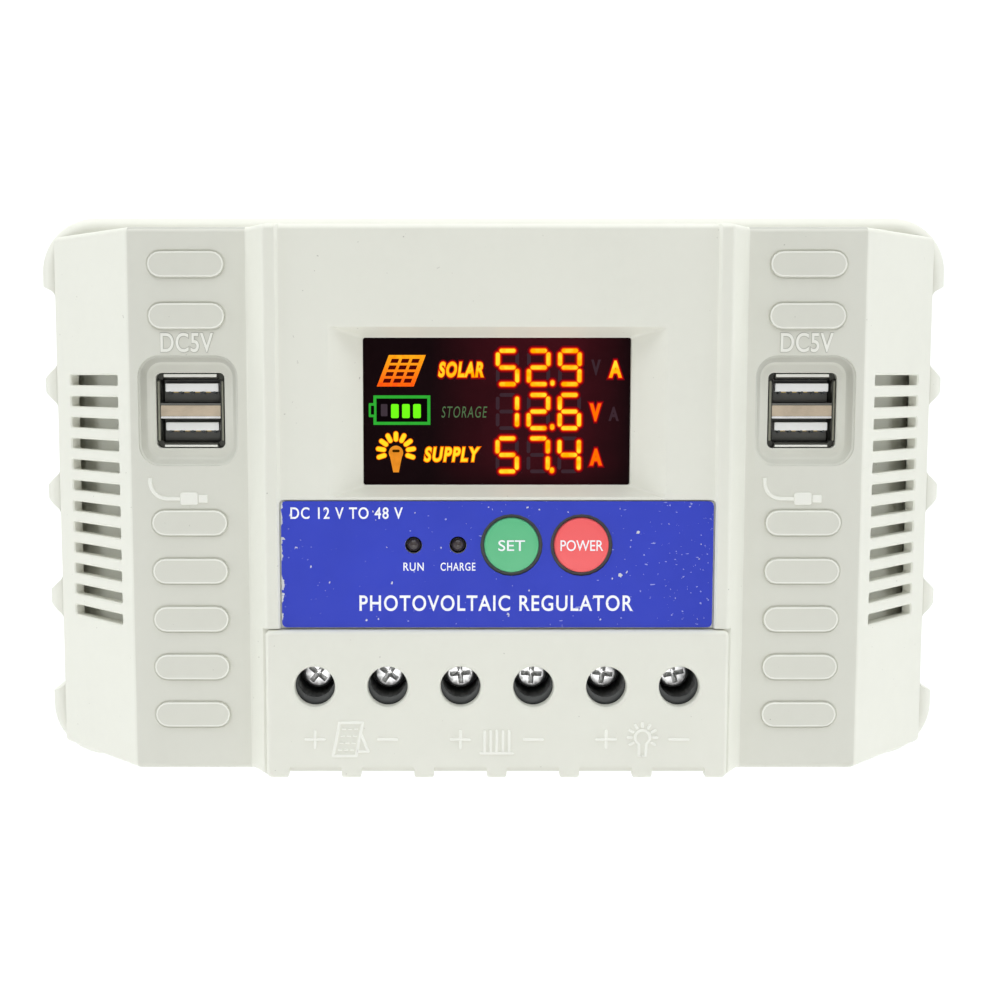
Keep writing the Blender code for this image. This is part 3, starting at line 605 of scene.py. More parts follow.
def make_rear_base():
    half_width, half_height = BASE_HIGH[0], BASE_HIGH[2]
    front = BASE_LOW[1]
    outline = rounded(half_width, half_height, 12.5, steps=14)
    body = rounded_bar(outline, "Y", front, 0, 3.2, 1.0)
    cavity = prism(rounded(half_width - 6.0, 56.0, 9), "Y", front - 1, -2.4)
    cut = []
    side = half_width - 3.6  # where the gaps between the ears and ribs end
    for sign in (-1, 1):
        for above, below in zip(SIDE_EDGES, SIDE_EDGES[1:]):
            top, flare_top = (above, 1.6) if above == SIDE_EDGES[0] else (above - RIB_HALF, 3.2)
            bottom, flare = (below, 1.6) if below == SIDE_EDGES[-1] else (below + RIB_HALF, 3.2)
            gap = [(sign * (half_width + 2), top, 0), (sign * half_width, top, 0.8)]
            gap += [(sign * side, top - flare_top, 2.2), (sign * side, bottom + flare, 2.2)]
            gap += [(sign * half_width, bottom, 0.8), (sign * (half_width + 2), bottom, 0)]
            cut.append(prism(filleted(gap), "Y", front - 2, 2))
    add = []
    for x, z in CASE_SCREWS:
        add.append(turned([(4.6, front + 0.5), (4.6, -1.5)], (x, z)))
        cut.append(turned([(1.75, front - 1), (1.75, -2.5)], (x, z)))
        cut.append(turned([(3.7, -3.3), (3.7, -0.4), (4.1, 0.0), (4.1, 1.0)], (x, z)))
    for sx in (-1, 1):
        for sz in (-1, 1):
            add.append(turned([(3.5, -16.4), (3.5, -1.5)], (sx * 72.0, sz * 45.0)))
        x, z = sx * 62.0, 28.0
        add.append(box((x - 7.5, x + 7.5), (-3.2, -1.5), (z - 8.0, z + 12.0)))
        cut.append(turned([(4.3, -4), (4.3, -0.4), (4.7, 0.0), (4.7, 1.0)], (x, z)))
        cut.append(prism(stadium((x, z), (x, z + 5.4), 2.2), "Y", -4, 1))
    for column in range(-4, 5):
        x = column * 11.0
        for low in (12.0, -36.0):
            slot = stadium((x, low + 1.5), (x, low + 22.5), 1.5)
            flared = stadium((x, low + 1.5), (x, low + 22.5), 1.9)
            cut.append(flat_rings([(slot, -4), (slot, -0.4), (flared, 0.0), (flared, 1.0)]))
    shape = carved("rear_base_looks", carved("rear_base_body", body, [cavity]), cut, add)
    shell_piece("rear_base_housing", [shape], ["rear_base"])


def cover_outline():
    """The cover's section: slanted sides, pillars, beads and the panel between them."""
    slant = COVER_HIGH[0] - PILLAR_OUTER
    half = [
        (COVER_HIGH[0], -21.0, 0),
        (COVER_HIGH[0], PILLAR_Y + slant, 0.6),
        (PILLAR_OUTER, PILLAR_Y, 1.4),
        (PILLAR_INNER, PILLAR_Y, 0.9),
        (BEAD_OUTER, BEAD_Y, 1.1),
        (BEAD_INNER, BEAD_Y, 0.4),
        (BEAD_INNER - 0.6, PANEL_Y, 0.4),
    ]
    return filleted(half + [(-x, y, radius) for x, y, radius in reversed(half)])


def sunk(outline, depth):
    """The cover's outline with its front and sides moved in by a depth."""
    return [(x * (1 - depth / COVER_HIGH[0]), y + depth) for x, y in outline]


def cover_bar():
    """The cover's section drawn out from its lower to its upper end, with both ends rounded."""
    outline, low, high = cover_outline(), COVER_LOW[2], COVER_HIGH[2]
    upper = edge_rings(outline, high, low, 1.3, sunk)
    return flat_rings(edge_rings(outline, low, high, 1.3, sunk) + upper[::-1], "Z")


def cover_hollow():
    """What is taken out of the cover, one wall inside its section."""
    slant_line = PILLAR_Y - PILLAR_OUTER + COVER_WALL * math.sqrt(2)
    inner_y = PILLAR_Y + COVER_WALL
    slope = (PILLAR_INNER - BEAD_OUTER) / (PILLAR_Y - BEAD_Y)
    shift = COVER_WALL * math.hypot(1, slope)
    half = [(-20.0 - slant_line, -20.0), (inner_y - slant_line, inner_y)]
    for y in (inner_y, PANEL_Y + 2.0):
        half.append((PILLAR_INNER + slope * (y - PILLAR_Y) - shift, y))
    outline = half + [(-x, y) for x, y in reversed(half)]
    return prism(outline, "Z", COVER_LOW[2] + COVER_WALL, COVER_HIGH[2] - COVER_WALL)


def vent(side, z):
    """A slot through the slanted side, with a softened rim."""
    x, half_length, half_height = 88.9, 9.9, 1.15
    y = PILLAR_Y + x - PILLAR_OUTER
    along = math.sqrt(0.5)
    rings = []
    for depth, flare in ((1.0, 0.45), (0.0, 0.35), (-0.3, 0.0), (-3.4, 0.0)):
        ring = []
        for u, v in rounded(half_length + flare, half_height + flare, 0.5 + flare, steps=4):
            ring.append((side * (x + along * (u + depth)), y + along * (u - depth), z + v))
        rings.append(ring)
    return loft(rings)


def vent_guard(side):
    """The plate behind the vents of one side, and the flanges that hold it off the wall."""

    def strip(outer, inner):
        points = []
        near, far = 81.9, 99.2
        for x, depth in ((near, outer), (far, outer), (far, inner), (near, inner)):
            shift = depth * math.sqrt(0.5)
            points.append((side * (x - shift), PILLAR_Y + x - PILLAR_OUTER + shift))
        return points

    low, high = GUARD_Z
    plate = prism(strip(4.8, 6.3), "Z", low, high)
    flange = strip(COVER_WALL - 0.5, 5.9)
    return [plate, prism(flange, "Z", low - 0.5, low + 1.5), prism(flange, "Z", high - 1.5, high + 0.5)]


def usb_well(centre):
    """The dished recess round a socket, and the hole in its floor."""
    floor = USB_FRONT - 0.35
    profile = [(10.7, PILLAR_Y - 1.0), (10.7, PILLAR_Y - 0.01), (10.62, PILLAR_Y + 0.3)]
    profile += [(10.25, PILLAR_Y + 0.5), (10.05, PILLAR_Y + 0.95), (9.7, floor - 1.0)]
    profile += [(9.45, floor - 0.5), (9.05, floor - 0.15), (8.5, floor)]
    rings = [(rounded(half, half + 1.15, half - 6.1, centre), y) for half, y in profile]
    hole = []
    for half, depth in ((7.55, -1.0), (7.55, -0.01), (7.38, 0.2), (7.38, 4.0)):
        hole.append((rounded(half, half + 0.72, 1.1, centre), floor + depth))
    return [flat_rings(rings), flat_rings(hole)]


def display_funnel():
    """The opening round the display, which narrows to the window's seat."""
    seat = WINDOW_LOW[1] - 1.8
    rings = [
        (35.9, 18.5, 0.9, PANEL_Y - 2),
        (35.9, 18.5, 0.9, PANEL_Y - 0.02),
        (35.2, 17.8, 0.7, PANEL_Y + 0.18),
        (28.9, 16.0, 0.6, seat - 0.25),
        (28.55, 15.7, 0.5, seat),
        (28.55, 15.7, 0.5, seat + 3),
    ]
    return flat_rings([(rounded(*size, (0, WINDOW_Z)), y) for *size, y in rings])


def pad_outline(x, z, beyond):
    return stadium((x - PAD_REACH, z), (x + PAD_REACH, z), PAD_RADIUS + beyond)


def pad(x, z):
    """One raised oval on a pillar."""
    profile = [(0.08, 0.5), (0.08, -0.02), (0.04, -0.3), (0.0, -0.4), (-0.08, -0.47), (-0.25, -0.5)]
    return flat_rings([(pad_outline(x, z, beyond), PILLAR_Y + y) for beyond, y in profile])


def pad_line(x, z, inner, outer, low, high):
    """A ring that follows a pad's edge, from inner to outer beyond it."""
    outlines = (pad_outline(x, z, outer), pad_outline(x, z, inner))
    return band(*outlines, PILLAR_Y + low, PILLAR_Y + high)


def make_front_cover():
    trim = box((-110, 110), (-22.3, -10), (-80, 80))
    shell = carved("cover_shell", cover_bar(), [trim])
    shell = carved("cover_hollowed", shell, [cover_hollow()])
    seat = WINDOW_LOW[1] - 0.3
    add = [box((-38, 38), (PANEL_Y + 1, seat), (WINDOW_LOW[2] - 2, WINDOW_HIGH[2] + 2))]
    label_bed = rounded(46.0, 15.4, 1.0, (0, extent("label_overlay")[1][2] + 0.3 - 15.4))
    terminal_low, terminal_high = extent("terminal_cover")
    cut = [
        display_funnel(),
        prism(label_bed, "Y", PANEL_Y - 1, PANEL_Y + 0.6),
        box((-46.8, 46.8), (BEAD_Y - 2, -20), (COVER_LOW[2] - 2, terminal_high[2] - 0.5)),
        box((-51, 51), (BEAD_Y - 2, terminal_low[1] + 2.3), (COVER_LOW[2] - 2, terminal_high[2] + 0.3)),
    ]
    for name in ("menu_button", "power_button", "work_lamp", "panel_lamp"):
        radius = 6.6 if name.endswith("button") else 1.8
        cut.append(turned([(radius, PANEL_Y - 1), (radius, PANEL_Y + 3)], centre_of(name)))
    for centre in USB_CENTRES.values():
        side = math.copysign(1, centre[0])
        reach = (centre[0] - 12, centre[0] + 12)
        add.append(box(reach, (PILLAR_Y + 1, USB_FRONT + 2), (centre[1] - 12.8, centre[1] + 12.8)))
        add += [pad(centre[0], z) for z in PAD_Z]
        add += vent_guard(side)
        cut += [pad_line(centre[0], z, 0.09, 0.4, -0.3, 0.16) for z in PAD_Z]
        cut += usb_well(centre)
        cut += [vent(side, VENT_TOP_Z - row * VENT_PITCH) for row in range(12)]
    for x, z in CASE_SCREWS:
        add.append(turned([(4.0, -32.2), (4.0, -22.3)], (x, z)))
    shell_piece("front_cover_housing", [carved("cover_looks", shell, cut, add)], ["front_cover"])
    for name, (x, _) in USB_CENTRES.items():
        # Painted highlight: a ring of lighter plastic round each pad's edge, where the edge catches
        # light.
        rims = [pad_line(x, z, -0.32, -0.02, -0.53, -0.3) for z in PAD_Z]
        shell_piece(f"pad_rims_{name}", rims, material=highlit_plastic)


POLES = [sum(extent(f"terminal_body_{i}")[k][0] for k in (0, 1)) / 2 for i in range(1, 7)]
HOLE_Z = -39.1
TOOTH_HALF = 2.1  # half the width of a tooth on the terminal cover's lower edge


def make_terminal_cover():
    low, high = extent("terminal_cover")
    front, back = low[1], low[1] + 2.0
    outline = rounded(high[0], (high[2] - low[2]) / 2, 1.3, (0, (low[2] + high[2]) / 2))
    plate = rounded_bar(outline, "Y", front, back, 1.1, 0)
    cut = []
    reach = (POLES[1] - POLES[0]) / 2 - TOOTH_HALF
    notch, lip, corner = -57.45, 0.95, 0.9  # a notch's top, the step above it and a tooth's corner
    for x in POLES:
        left, right = x - reach, x + reach
        first, second = left - corner, right + corner
        outline = [(first, low[2] - 1), *arc((first, low[2] + corner), corner, -90, 0, 4)]
        outline += [(left, notch), (right, notch)]
        outline += [*arc((second, low[2] + corner), corner, 180, 270, 4), (second, low[2] - 1)]
        cut.append(prism(outline, "Y", front - 1, back + 1))
        step = [(left, notch - 1, 0), (right, notch - 1, 0)]
        step = filleted(step + [(right, notch + lip, 0.4), (left, notch + lip, 0.4)])
        cut.append(flat_rings([(step, front - 1), (step, front), (inset(step, 0.12), front + 0.4)]))
        rim = [(5.1, front - 1), (5.1, front - 0.01), (4.75, front + 0.1), (4.4, front + 0.35)]
        cut.append(turned(rim + [(4.25, front + 0.8), (4.2, back + 1)], (x, HOLE_Z)))
    shell_piece("terminal_cover_plate", [carved("terminal_looks", plate, cut)], ["terminal_cover"])


# --- Raised markings


def make_markings():
    """Raised signs in the plastic: polarity, panel, battery, lamp, voltage and lead."""
    face = extent("terminal_cover")[0][1]
    width, height = 0.62, 0.24
    shapes = []
    row = -50.4  # the height of the signs' middles
    for left, right in zip(POLES[::2], POLES[1::2]):
        shapes.append(stroke((left - 2.0, row), (left + 2.0, row), width, face, height))
        shapes.append(stroke((left, row - 1.8), (left, row + 1.8), width, face, height - 0.02))
        shapes.append(stroke((right - 2.0, row), (right + 2.0, row), width, face, height))
    shapes += solar_panel_sign((-31.0, row), face, width, height)
    for x in (-2.6, -1.3, 0.0, 1.3, 2.6):
        shapes.append(stroke((x, -53.0), (x, -48.6), width, face, height))
    shapes.append(stroke((-3.4, -53.4), (3.4, -53.4), width, face, height))
    shapes += lamp_sign((31.0, row - 0.2), face, width, height)
    # The signs' lighter plastic is painted highlight on their tops.
    shell_piece("terminal_markings", shapes, material=highlit_plastic)
    for side, (x, _) in USB_CENTRES.items():
        words = ("DC5V", (x, 33.8), (11.2, 4.1), PILLAR_Y + 0.1)
        # The letters' lighter plastic is painted highlight on their tops.
        shapes = [lettering(*words, 0.36, 0.012, spacing=1.05), *lead_sign(x)]
        shell_piece(f"pillar_markings_{side}", shapes, material=highlit_plastic)
        # Painted shadow: the letters swollen, in darker plastic, just behind the raised ones.
        foot = lettering(*words, 0.13, 0.012, growth=0.13, spacing=1.05)
        shell_piece(f"pillar_lettering_shadow_{side}", [foot], material=shaded_plastic)


def solar_panel_sign(centre, y, width, height):
    x, z = centre
    corners = [(x - 3.9, z - 3.6), (x + 1.0, z - 3.6), (x + 2.4, z + 3.6), (x - 2.5, z + 3.6)]
    shapes = polyline(corners, width, y, height, closed=True)
    for row in range(4):
        level = z - 2.3 + row * 1.5
        lean = (level - z + 3.6) / 7.2 * 1.4
        for column in range(3):
            start = x - 3.0 + column * 1.3 + lean
            shapes.append(stroke((start, level), (start + 0.6, level), 0.36, y, height))
    shapes += polyline([(x + 2.0, z + 1.2), (x + 3.6, z - 2.6), (x + 1.4, z - 2.6)], width, y, height)
    return shapes


def lamp_sign(centre, y, width, height):
    x, z = centre
    bulb = arc((x, z + 0.6), 1.6, -60, 240, 14)
    outline = [(x - 0.1, z - 3.4), (x + 0.7, z - 3.4), *bulb, (x - 0.7, z - 3.4), (x - 0.2, z - 3.4)]
    shapes = [ribbon(outline, width, y, height)]
    for angle in range(-30, 211, 30):
        inner, outer = (polar((x, z + 0.6), radius, angle) for radius in (2.3, 3.1))
        shapes.append(stroke(inner, outer, width, y, height))
    return shapes


def lead_sign(x):
    """A plug on a curved lead, below a socket."""
    y, height = PILLAR_Y, 0.25
    lead = [(x - 8.4, 4.9), *arc((x - 4.8, 4.0), 3.6, 180, 270, 10), (x - 2.0, 0.4)]
    shapes = [ribbon(lead, 0.8, y, height)]
    grip = rounded(1.9, 1.35, 0.5, (x - 0.1, 0.4))
    tip = rounded(1.0, 0.85, 0.15, (x + 2.9, 0.4))
    for outline in (grip, tip):
        rings = [(outline, y + 0.2), (outline, y - 0.12), (inset(outline, 0.15), y - height)]
        shapes.append(flat_rings(rings))
    return shapes


# --- Label, buttons and lamps


def make_label():
    front = extent("label_overlay")[0][1]
    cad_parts["label_overlay"].data.materials[0] = printed_vinyl()
    words = [
        ("DC 12 V TO 48 V", (-31.8, -2.1), (23.7, 2.5), 0.014),
        ("RUN", (centre_of("work_lamp")[0], -13.5), (4.3, 1.75), 0.01),
        ("CHARGE", (centre_of("panel_lamp")[0], -13.5), (7.4, 1.75), 0.01),
        ("PHOTOVOLTAIC REGULATOR", (-0.2, -21.3), (58.0, 3.4), 0.014),
    ]
    shapes = [lettering(*text, front, SKIN, weight, spacing=1.14) for *text, weight in words]
    piece("label_lettering", shapes, white_ink)


def make_buttons():
    caps = {
        "menu": ("SET", 5.6, "green", (0.11, 0.5, 0.235)),
        "power": ("POWER", 9.0, "red", (0.9, 0.12, 0.125)),
    }
    for name, (words, width, tint, colour) in caps.items():
        low, high = extent(f"{name}_button")
        centre = centre_of(f"{name}_button")
        front = low[1]
        profile = [(0.3, front + 0.001), (3.0, front + 0.03), (4.6, front + 0.1), (5.3, front + 0.2)]
        profile += [(5.6, front + 0.35), (5.75, front + 0.65), (5.8, front + 1.1), (5.8, front + 3.2)]
        profile += [(7.15, front + 3.3), (7.15, front + 4.5), (1.8, front + 4.5), (1.8, high[1])]
        body = f"{name}_key"
        # Painted shadow: a black ring in the gap round the cap.
        gap_shadow = band(circle(6.75, centre), circle(5.9, centre), PANEL_Y + 0.5, PANEL_Y + 1.1)
        piece(f"{name}_collar", [gap_shadow], black_plastic)
        plastic = moulded(f"{tint}_cap", colour, 0.42)
        node, slot = f"{name}_button", f"button_{tint}"
        piece(f"{name}_cap", [turned(profile, centre)], plastic, body, [node])
        text = lettering(words, centre, (width, 2.3), front + 0.09, 0.16, 0.005)
        piece(f"{name}_lettering", [text], white_ink, body)


def make_lamps():
    resin = Finish("smoked_resin", 0.22, Specular_IOR_Level=0.5)
    resin.colour(resin.mix(resin.noise(1.5, 2), (0.035, 0.028, 0.028), (0.07, 0.055, 0.055)))
    resin.bump(resin.noise(0.4, 2), 0.004, 0.3)
    for name in ("work", "panel"):
        low, high = extent(f"{name}_lamp")
        tip = low[1]
        steps = [math.radians(10 * i) for i in range(9, 0, -1)]
        profile = [(0.05, tip)]
        profile += [(1.5 * math.cos(a), tip + 1.5 * (1 - math.sin(a))) for a in steps[1:]]
        profile += [(1.5, tip + 1.5), (1.5, tip + 4.0), (1.9, tip + 4.0), (1.9, tip + 5.0)]
        x, z = centre_of(f"{name}_lamp")
        legs = []
        for place in (x - 1, x + 1):
            across = (place - 0.25, place + 0.25)
            legs.append(box(across, (tip + 4.8, high[1]), (z - 0.25, z + 0.25)))
        lens = turned(profile, (x, z))
        piece(f"{name}_lens", [lens], resin.material, "housing", [f"{name}_lamp"])
        piece(f"{name}_lens_legs", legs, plated_steel)


# --- Display

DIGIT_WIDTH = 4.15  # between the middles of the left and right segments
DIGIT_HEIGHT = 7.1  # between the middles of the top and bottom segments
DIGIT_PITCH = 6.65
SEGMENT_GAP = 0.78  # what a bar is shortened by at each end
FIRST_DIGIT_X = 2.3
ROWS_Z = {"input": 28.5, "battery": 19.1, "output": 9.8}
SEGMENTS = {
    "a": ((-1, 1), (1, 1)),
    "b": ((1, 1), (1, 0)),
    "c": ((1, 0), (1, -1)),
    "d": ((-1, -1), (1, -1)),
    "e": ((-1, 0), (-1, -1)),
    "f": ((-1, 1), (-1, 0)),
    "g": ((-1, 0), (1, 0)),
}
LIT = {
    "1": "bc", "2": "abged", "4": "fgbc", "5": "afgcd", "6": "afgedc", "7": "abc", "9": "abcdfg",
}


def segment(x, z, name, half_width):
    """One bar of a digit, shortened at its ends so that the bars don't meet."""
    ends = [(x + u * DIGIT_WIDTH / 2, z + v * DIGIT_HEIGHT / 2) for u, v in SEGMENTS[name]]
    length = math.hypot(ends[1][0] - ends[0][0], ends[1][1] - ends[0][1])
    share = SEGMENT_GAP / length
    start, end = (
        (a[0] + (b[0] - a[0]) * share, a[1] + (b[1] - a[1]) * share) for a, b in (ends, ends[::-1])
    )
    return stadium(start, end, half_width)


def digit_outlines(half_width, lit_ones=True):
    """The outlines of every lit bar, or of every dark one, in the three rows of digits."""
    outlines = []
    for row, number in (("input", "529"), ("battery", "126"), ("output", "574")):
        for place, figure in enumerate(number):
            x = FIRST_DIGIT_X + place * DIGIT_PITCH
            for name in SEGMENTS:
                if (name in LIT[figure]) == lit_ones:
                    outlines.append(segment(x, ROWS_Z[row], name, half_width))
        if lit_ones:
            point = (FIRST_DIGIT_X + 1.5 * DIGIT_PITCH - 0.35, ROWS_Z[row] - DIGIT_HEIGHT / 2 + 0.1)
            outlines.append(stadium(point, (point[0], point[1] + 0.3), half_width))
    return outlines


def make_display():
    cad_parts["display_window"].data.materials[0] = smoked_glass()
    front = WINDOW_LOW[1]

    def layer(name, outlines, material, level, words=()):
        """Flat shapes on the window, each level in front of the one before."""
        y = front - level * SKIN
        shapes = [prism(outline, "Y", y, y - SKIN) for outline in outlines]
        shapes += [lettering(*text[:3], y, SKIN, *text[3:]) for text in words]
        piece("display_" + name, shapes, material)

    def tags(names, growth):
        texts = {
            "SOLAR": ((-7.65, 28.06), (9.7, 3.3), 0.045),
            "SUPPLY": ((-9.51, 9.91), (12.26, 3.34), 0.055),
            "STORAGE": ((-6.9, 19.0), (10.0, 2.75), 0.045),
        }
        return [(text, *texts[text], 0.2, growth, 1.2) for text in names]

    def units(places, growth):
        return [(letter, at, size, 0.07, 0.0, growth) for letter, at, size in places]

    red_units = [
        ("A", (25.37, 28.15), (3.0, 3.8)),
        ("V", (21.17, 18.94), (2.6, 3.9)),
        ("A", (21.37, 9.33), (2.8, 3.7)),
    ]
    dim_units = [("V", (21.2, 28.5), (2.3, 3.6)), ("A", (25.1, 18.6), (2.5, 3.3))]
    glow = lit("segment_glow", (0.16, 0.002, 0.006), 1.0)
    halo = lit("segment_halo", (0.55, 0.01, 0.005), 1.0)
    orange = lit("segment_orange", (1.0, 0.15, 0.0), 1.1)
    yellow = lit("segment_yellow", (1.0, 0.72, 0.03), 1.1, second=(1.0, 0.42, 0.0), size=2.5)
    ghost = lit("segment_dark", (0.045, 0.022, 0.03), 1.0)
    pale = lit("segment_pale", (1.0, 0.7, 0.02), 1.1)
    red = lit("unit_red", (1.0, 0.035, 0.01), 1.1)

    layer("dark_bars", digit_outlines(0.4, False), ghost, 0, units(dim_units, -0.1))
    layer("glow", digit_outlines(1.1), glow, 1, tags(["SOLAR"], 0.4) + units(red_units, 0.4))
    layer("halo", digit_outlines(0.8), halo, 2, tags(["SOLAR"], 0.2) + units(red_units, 0.16))
    layer("orange", digit_outlines(0.56), orange, 3, tags(["SOLAR"], 0.1))
    layer("yellow", digit_outlines(0.4), yellow, 4, tags(["SOLAR"], -0.02))
    layer("units", [], red, 3, units(red_units, 0.0))
    layer("unit_hearts", [], yellow, 4, units(red_units[:1], -0.1))
    layer("unit_orange_hearts", [], orange, 4, units(red_units[1:], -0.1))
    make_panel_icon(layer, halo)
    make_battery_icon(layer, tags)
    make_lamp_icon(layer, tags, orange, pale)


def make_panel_icon(layer, halo):
    """Solar panel sign: a leaning grid of cells, red at its foot and yellow at its top."""
    x, z, lean = -20.4, 27.8, 1.3
    half_width, half_height = 3.95, 3.35
    glowing = Finish("panel_icon", 0.4, Specular_IOR_Level=0.0)
    rise = glowing.rise("Z", z - half_height, z + half_height)
    shade = glowing.mix(glowing.ramp(rise, 0.1, 0.95), (1.0, 0.02, 0.01), (1.0, 0.55, 0.02))
    glowing.glow(glowing.mix(glowing.noise(0.8, 2), shade, (1.0, 0.2, 0.0)), 1.1)
    glowing.colour((0.0, 0.0, 0.0))

    def corner(u, v):
        return (x + u * half_width + v * lean, z + v * half_height)

    def cell(u, v, half_u, half_v):
        corners = ((-1, -1), (1, -1), (1, 1), (-1, 1))
        return [corner(u + du * half_u, v + dv * half_v) for du, dv in corners]

    rim = cell(0, 0, 1, 1)
    layer("panel_halo", [inset(rim, -0.35)], halo, 2)
    layer("panel_rim", [rim], glowing.material, 3)
    cells = [cell(u, v, 0.2, 0.13) for u in (-0.56, 0.0, 0.56) for v in (-0.63, -0.21, 0.21, 0.63)]
    layer("panel_cells", cells, lit("panel_cell", (0.07, 0.002, 0.002), 1.0), 4)


def make_battery_icon(layer, tags):
    x, z = -20.3, ROWS_Z["battery"] + 0.3
    body = [(x - 6.1, z - 3.15), (x + 6.1, z - 3.15), (x + 6.1, z + 3.15), (x - 6.1, z + 3.15)]
    nub = rounded(0.75, 1.5, 0.2, (x - 6.35, z), 3)
    hollow = [inset(body, 0.65), rounded(0.35, 0.95, 0.1, (x - 6.3, z), 3)]
    bars = [rounded(0.82, 1.5, 0.3, (x - 1.5 + step * 2.37, z - 0.2), 3) for step in range(3)]
    empty = [rounded(0.7, 1.3, 0.2, (x - 3.8, z), 3)]
    glow = lit("battery_glow", (0.004, 0.05, 0.004), 1.0)
    green = lit("battery_green", (0.03, 0.42, 0.035), 1.0)
    window = lit("battery_hollow", (0.006, 0.003, 0.004), 0.6)
    bright = lit("battery_bright", (0.16, 1.0, 0.01), 1.1)
    dark = lit("battery_empty", (0.05, 0.035, 0.045), 1.0)
    dim = lit("battery_tag", (0.085, 0.16, 0.07), 1.0)
    layer("battery_glow", [inset(body, -0.3)], glow, 1)
    layer("battery_rim", [body, nub], green, 2)
    layer("battery_hollow", hollow, window, 3)
    layer("battery_bars", bars, bright, 4)
    layer("battery_empty", empty, dark, 4)
    layer("battery_tag", [], dim, 2, tags(["STORAGE"], -0.12))


def make_lamp_icon(layer, tags, orange, pale):
    x, z = -21.6, ROWS_Z["output"] + 0.35
    rays = []
    for angle in range(-18, 199, 27):
        rays.append([polar((x, z + 0.35), radius, angle) for radius in (2.65, 3.85)])
    layer("ray_edges", [stadium(a, b, 0.6) for a, b in rays], orange, 2)
    layer("rays", [stadium(a, b, 0.45) for a, b in rays], pale, 3)
    bulb = arc((x, z + 0.1), 1.55, -35, 215, 16) + [(x - 0.6, z - 4.1), (x + 0.6, z - 4.1)]
    amber = lit("lamp_amber", (0.82, 0.27, 0.02), 1.0, 0.25)
    layer("bulb", [bulb], amber, 2)
    filament = stadium((x - 0.5, z + 0.5), (x + 0.5, z + 0.5), 0.3)
    layer("bulb_heart", [filament], lit("bulb_heart", (0.05, 0.02, 0.0), 1.0), 3)
    layer("output_edge", [], orange, 2, tags(["SUPPLY"], 0.1))
    layer("output_tag", [], pale, 3, tags(["SUPPLY"], -0.08))


# --- USB sockets

PORT_RISE = 4.2  # from the middle of a socket to that of its upper port


def make_socket_rim(side, x, z, front, back):
    """The steel shell with its two mouths, and the lips and strips on its front."""
    rim = rounded_bar(rounded(7.25, 8.0, 0.7, (x, z)), "Y", front, front + 1.2, 0.25, 0)
    tube = prism(rounded(6.6, 7.8, 0.6, (x, z)), "Y", front + 1.0, back)
    cut = []
    for port in (z + PORT_RISE, z - PORT_RISE):
        flared = rounded(6.5, 2.8, 0.4, (x, port), 4)
        mouth = rounded(6.25, 2.56, 0.3, (x, port), 4)
        steps = (front - 1, front, front + 0.4, back + 1)
        cut.append(flat_rings(list(zip((flared, flared, mouth, mouth), steps))))
    for sx in (-1, 1):
        for sz in (-1, 1):
            corner = (x + sx * 6.6, z + sz * 7.25)
            cut.append(turned([(0.8, front - 1), (0.8, front + 1.0)], corner, 24))
    shell = carved("socket_shell", rim, cut, [tube])
    piece(f"usb_{side}_shell", [shell], steel_with_painted_reflection, "housing", [f"usb_shell_{side}"])

    def strip(left, right, bottom, top, proud):
        middle = (x + (left + right) / 2, z + (bottom + top) / 2)
        outline = rounded((right - left) / 2, (top - bottom) / 2, 0.12, middle, 3)
        return rounded_bar(outline, "Y", front - proud, front + 0.35, 0.07, 0)

    strips = {
        # The lips' pale plastic is painted highlight along the shell's top and bottom edges.
        "lips": (highlit_plastic, [(-5.7, 5.7, 7.2, 7.85, 0.12), (-5.7, 5.7, -7.85, -7.4, 0.12)]),
        "side_lips": (side_lip_metal, [(-7.1, -6.6, -6.5, 6.3, 0.06), (6.72, 7.1, -6.5, 6.3, 0.06)]),
        "divider": (divider_metal, [(-6.45, 6.45, -1.2, 1.1, 0.1)]),
        "divider_edge": (bright_nickel, [(-6.45, 6.45, -1.7, -1.24, 0.16)]),
        "divider_shade": (socket_shade_grey, [(-6.45, 6.45, 1.14, 1.6, 0.02)]),
    }
    for name, (material, places) in strips.items():
        piece(f"usb_{side}_{name}", [strip(*place) for place in places], material)


def make_usb_sockets():
    for side, (x, z) in USB_CENTRES.items():
        low, high = extent(f"usb_shell_{side}")
        front, back = low[1], high[1]
        make_socket_rim(side, x, z, front, back)
        tongues, contacts, shade_sheets, contact_shadows = [], [], [], []
        for port in (z + PORT_RISE, z - PORT_RISE):
            tongue = rounded(5.75, 0.9, 0.2, (x + 0.15, port + 0.75), 3)
            tongues.append(rounded_bar(tongue, "Y", front + 0.9, back + 0.4, 0.15, 0))
            # Painted shade: a dark sheet across each port behind its tongue, standing for its shaded
            # inside.
            depth = (front + 2.6, front + 3.6)
            shade_sheets.append(box((x - 6.1, x + 6.1), depth, (port - 2.4, port + 2.4)))
            for step in range(4):
                place = x - 3.5 + step * 7.0 / 3
                across = (place - 0.5, place + 0.5)
                contacts.append(box(across, (front + 2.0, back), (port - 0.35, port - 0.1)))
            # Painted shadows of the contacts: small black bumps under each tongue.
            for step in range(5):
                profile = [(0.2, front + 0.85), (0.35, front + 1.0), (0.35, front + 4.0)]
                contact_shadows.append(turned(profile, (x - 4.6 + step * 2.4, port - 0.35), 20))
        tongues.append(box((x - 6.5, x + 6.5), (back + 0.3, back + 2.5), (z - 7.5, z + 7.5)))
        node = f"usb_insulator_{side}"
        piece(f"usb_{side}_insulator", tongues, nylon, "housing", [node])
        piece(f"usb_{side}_contacts", contacts, gold)
        piece(f"usb_{side}_liners", shade_sheets, socket_shade_grey)
        piece(f"usb_{side}_bumps", contact_shadows, black_plastic)


# --- Terminal screws

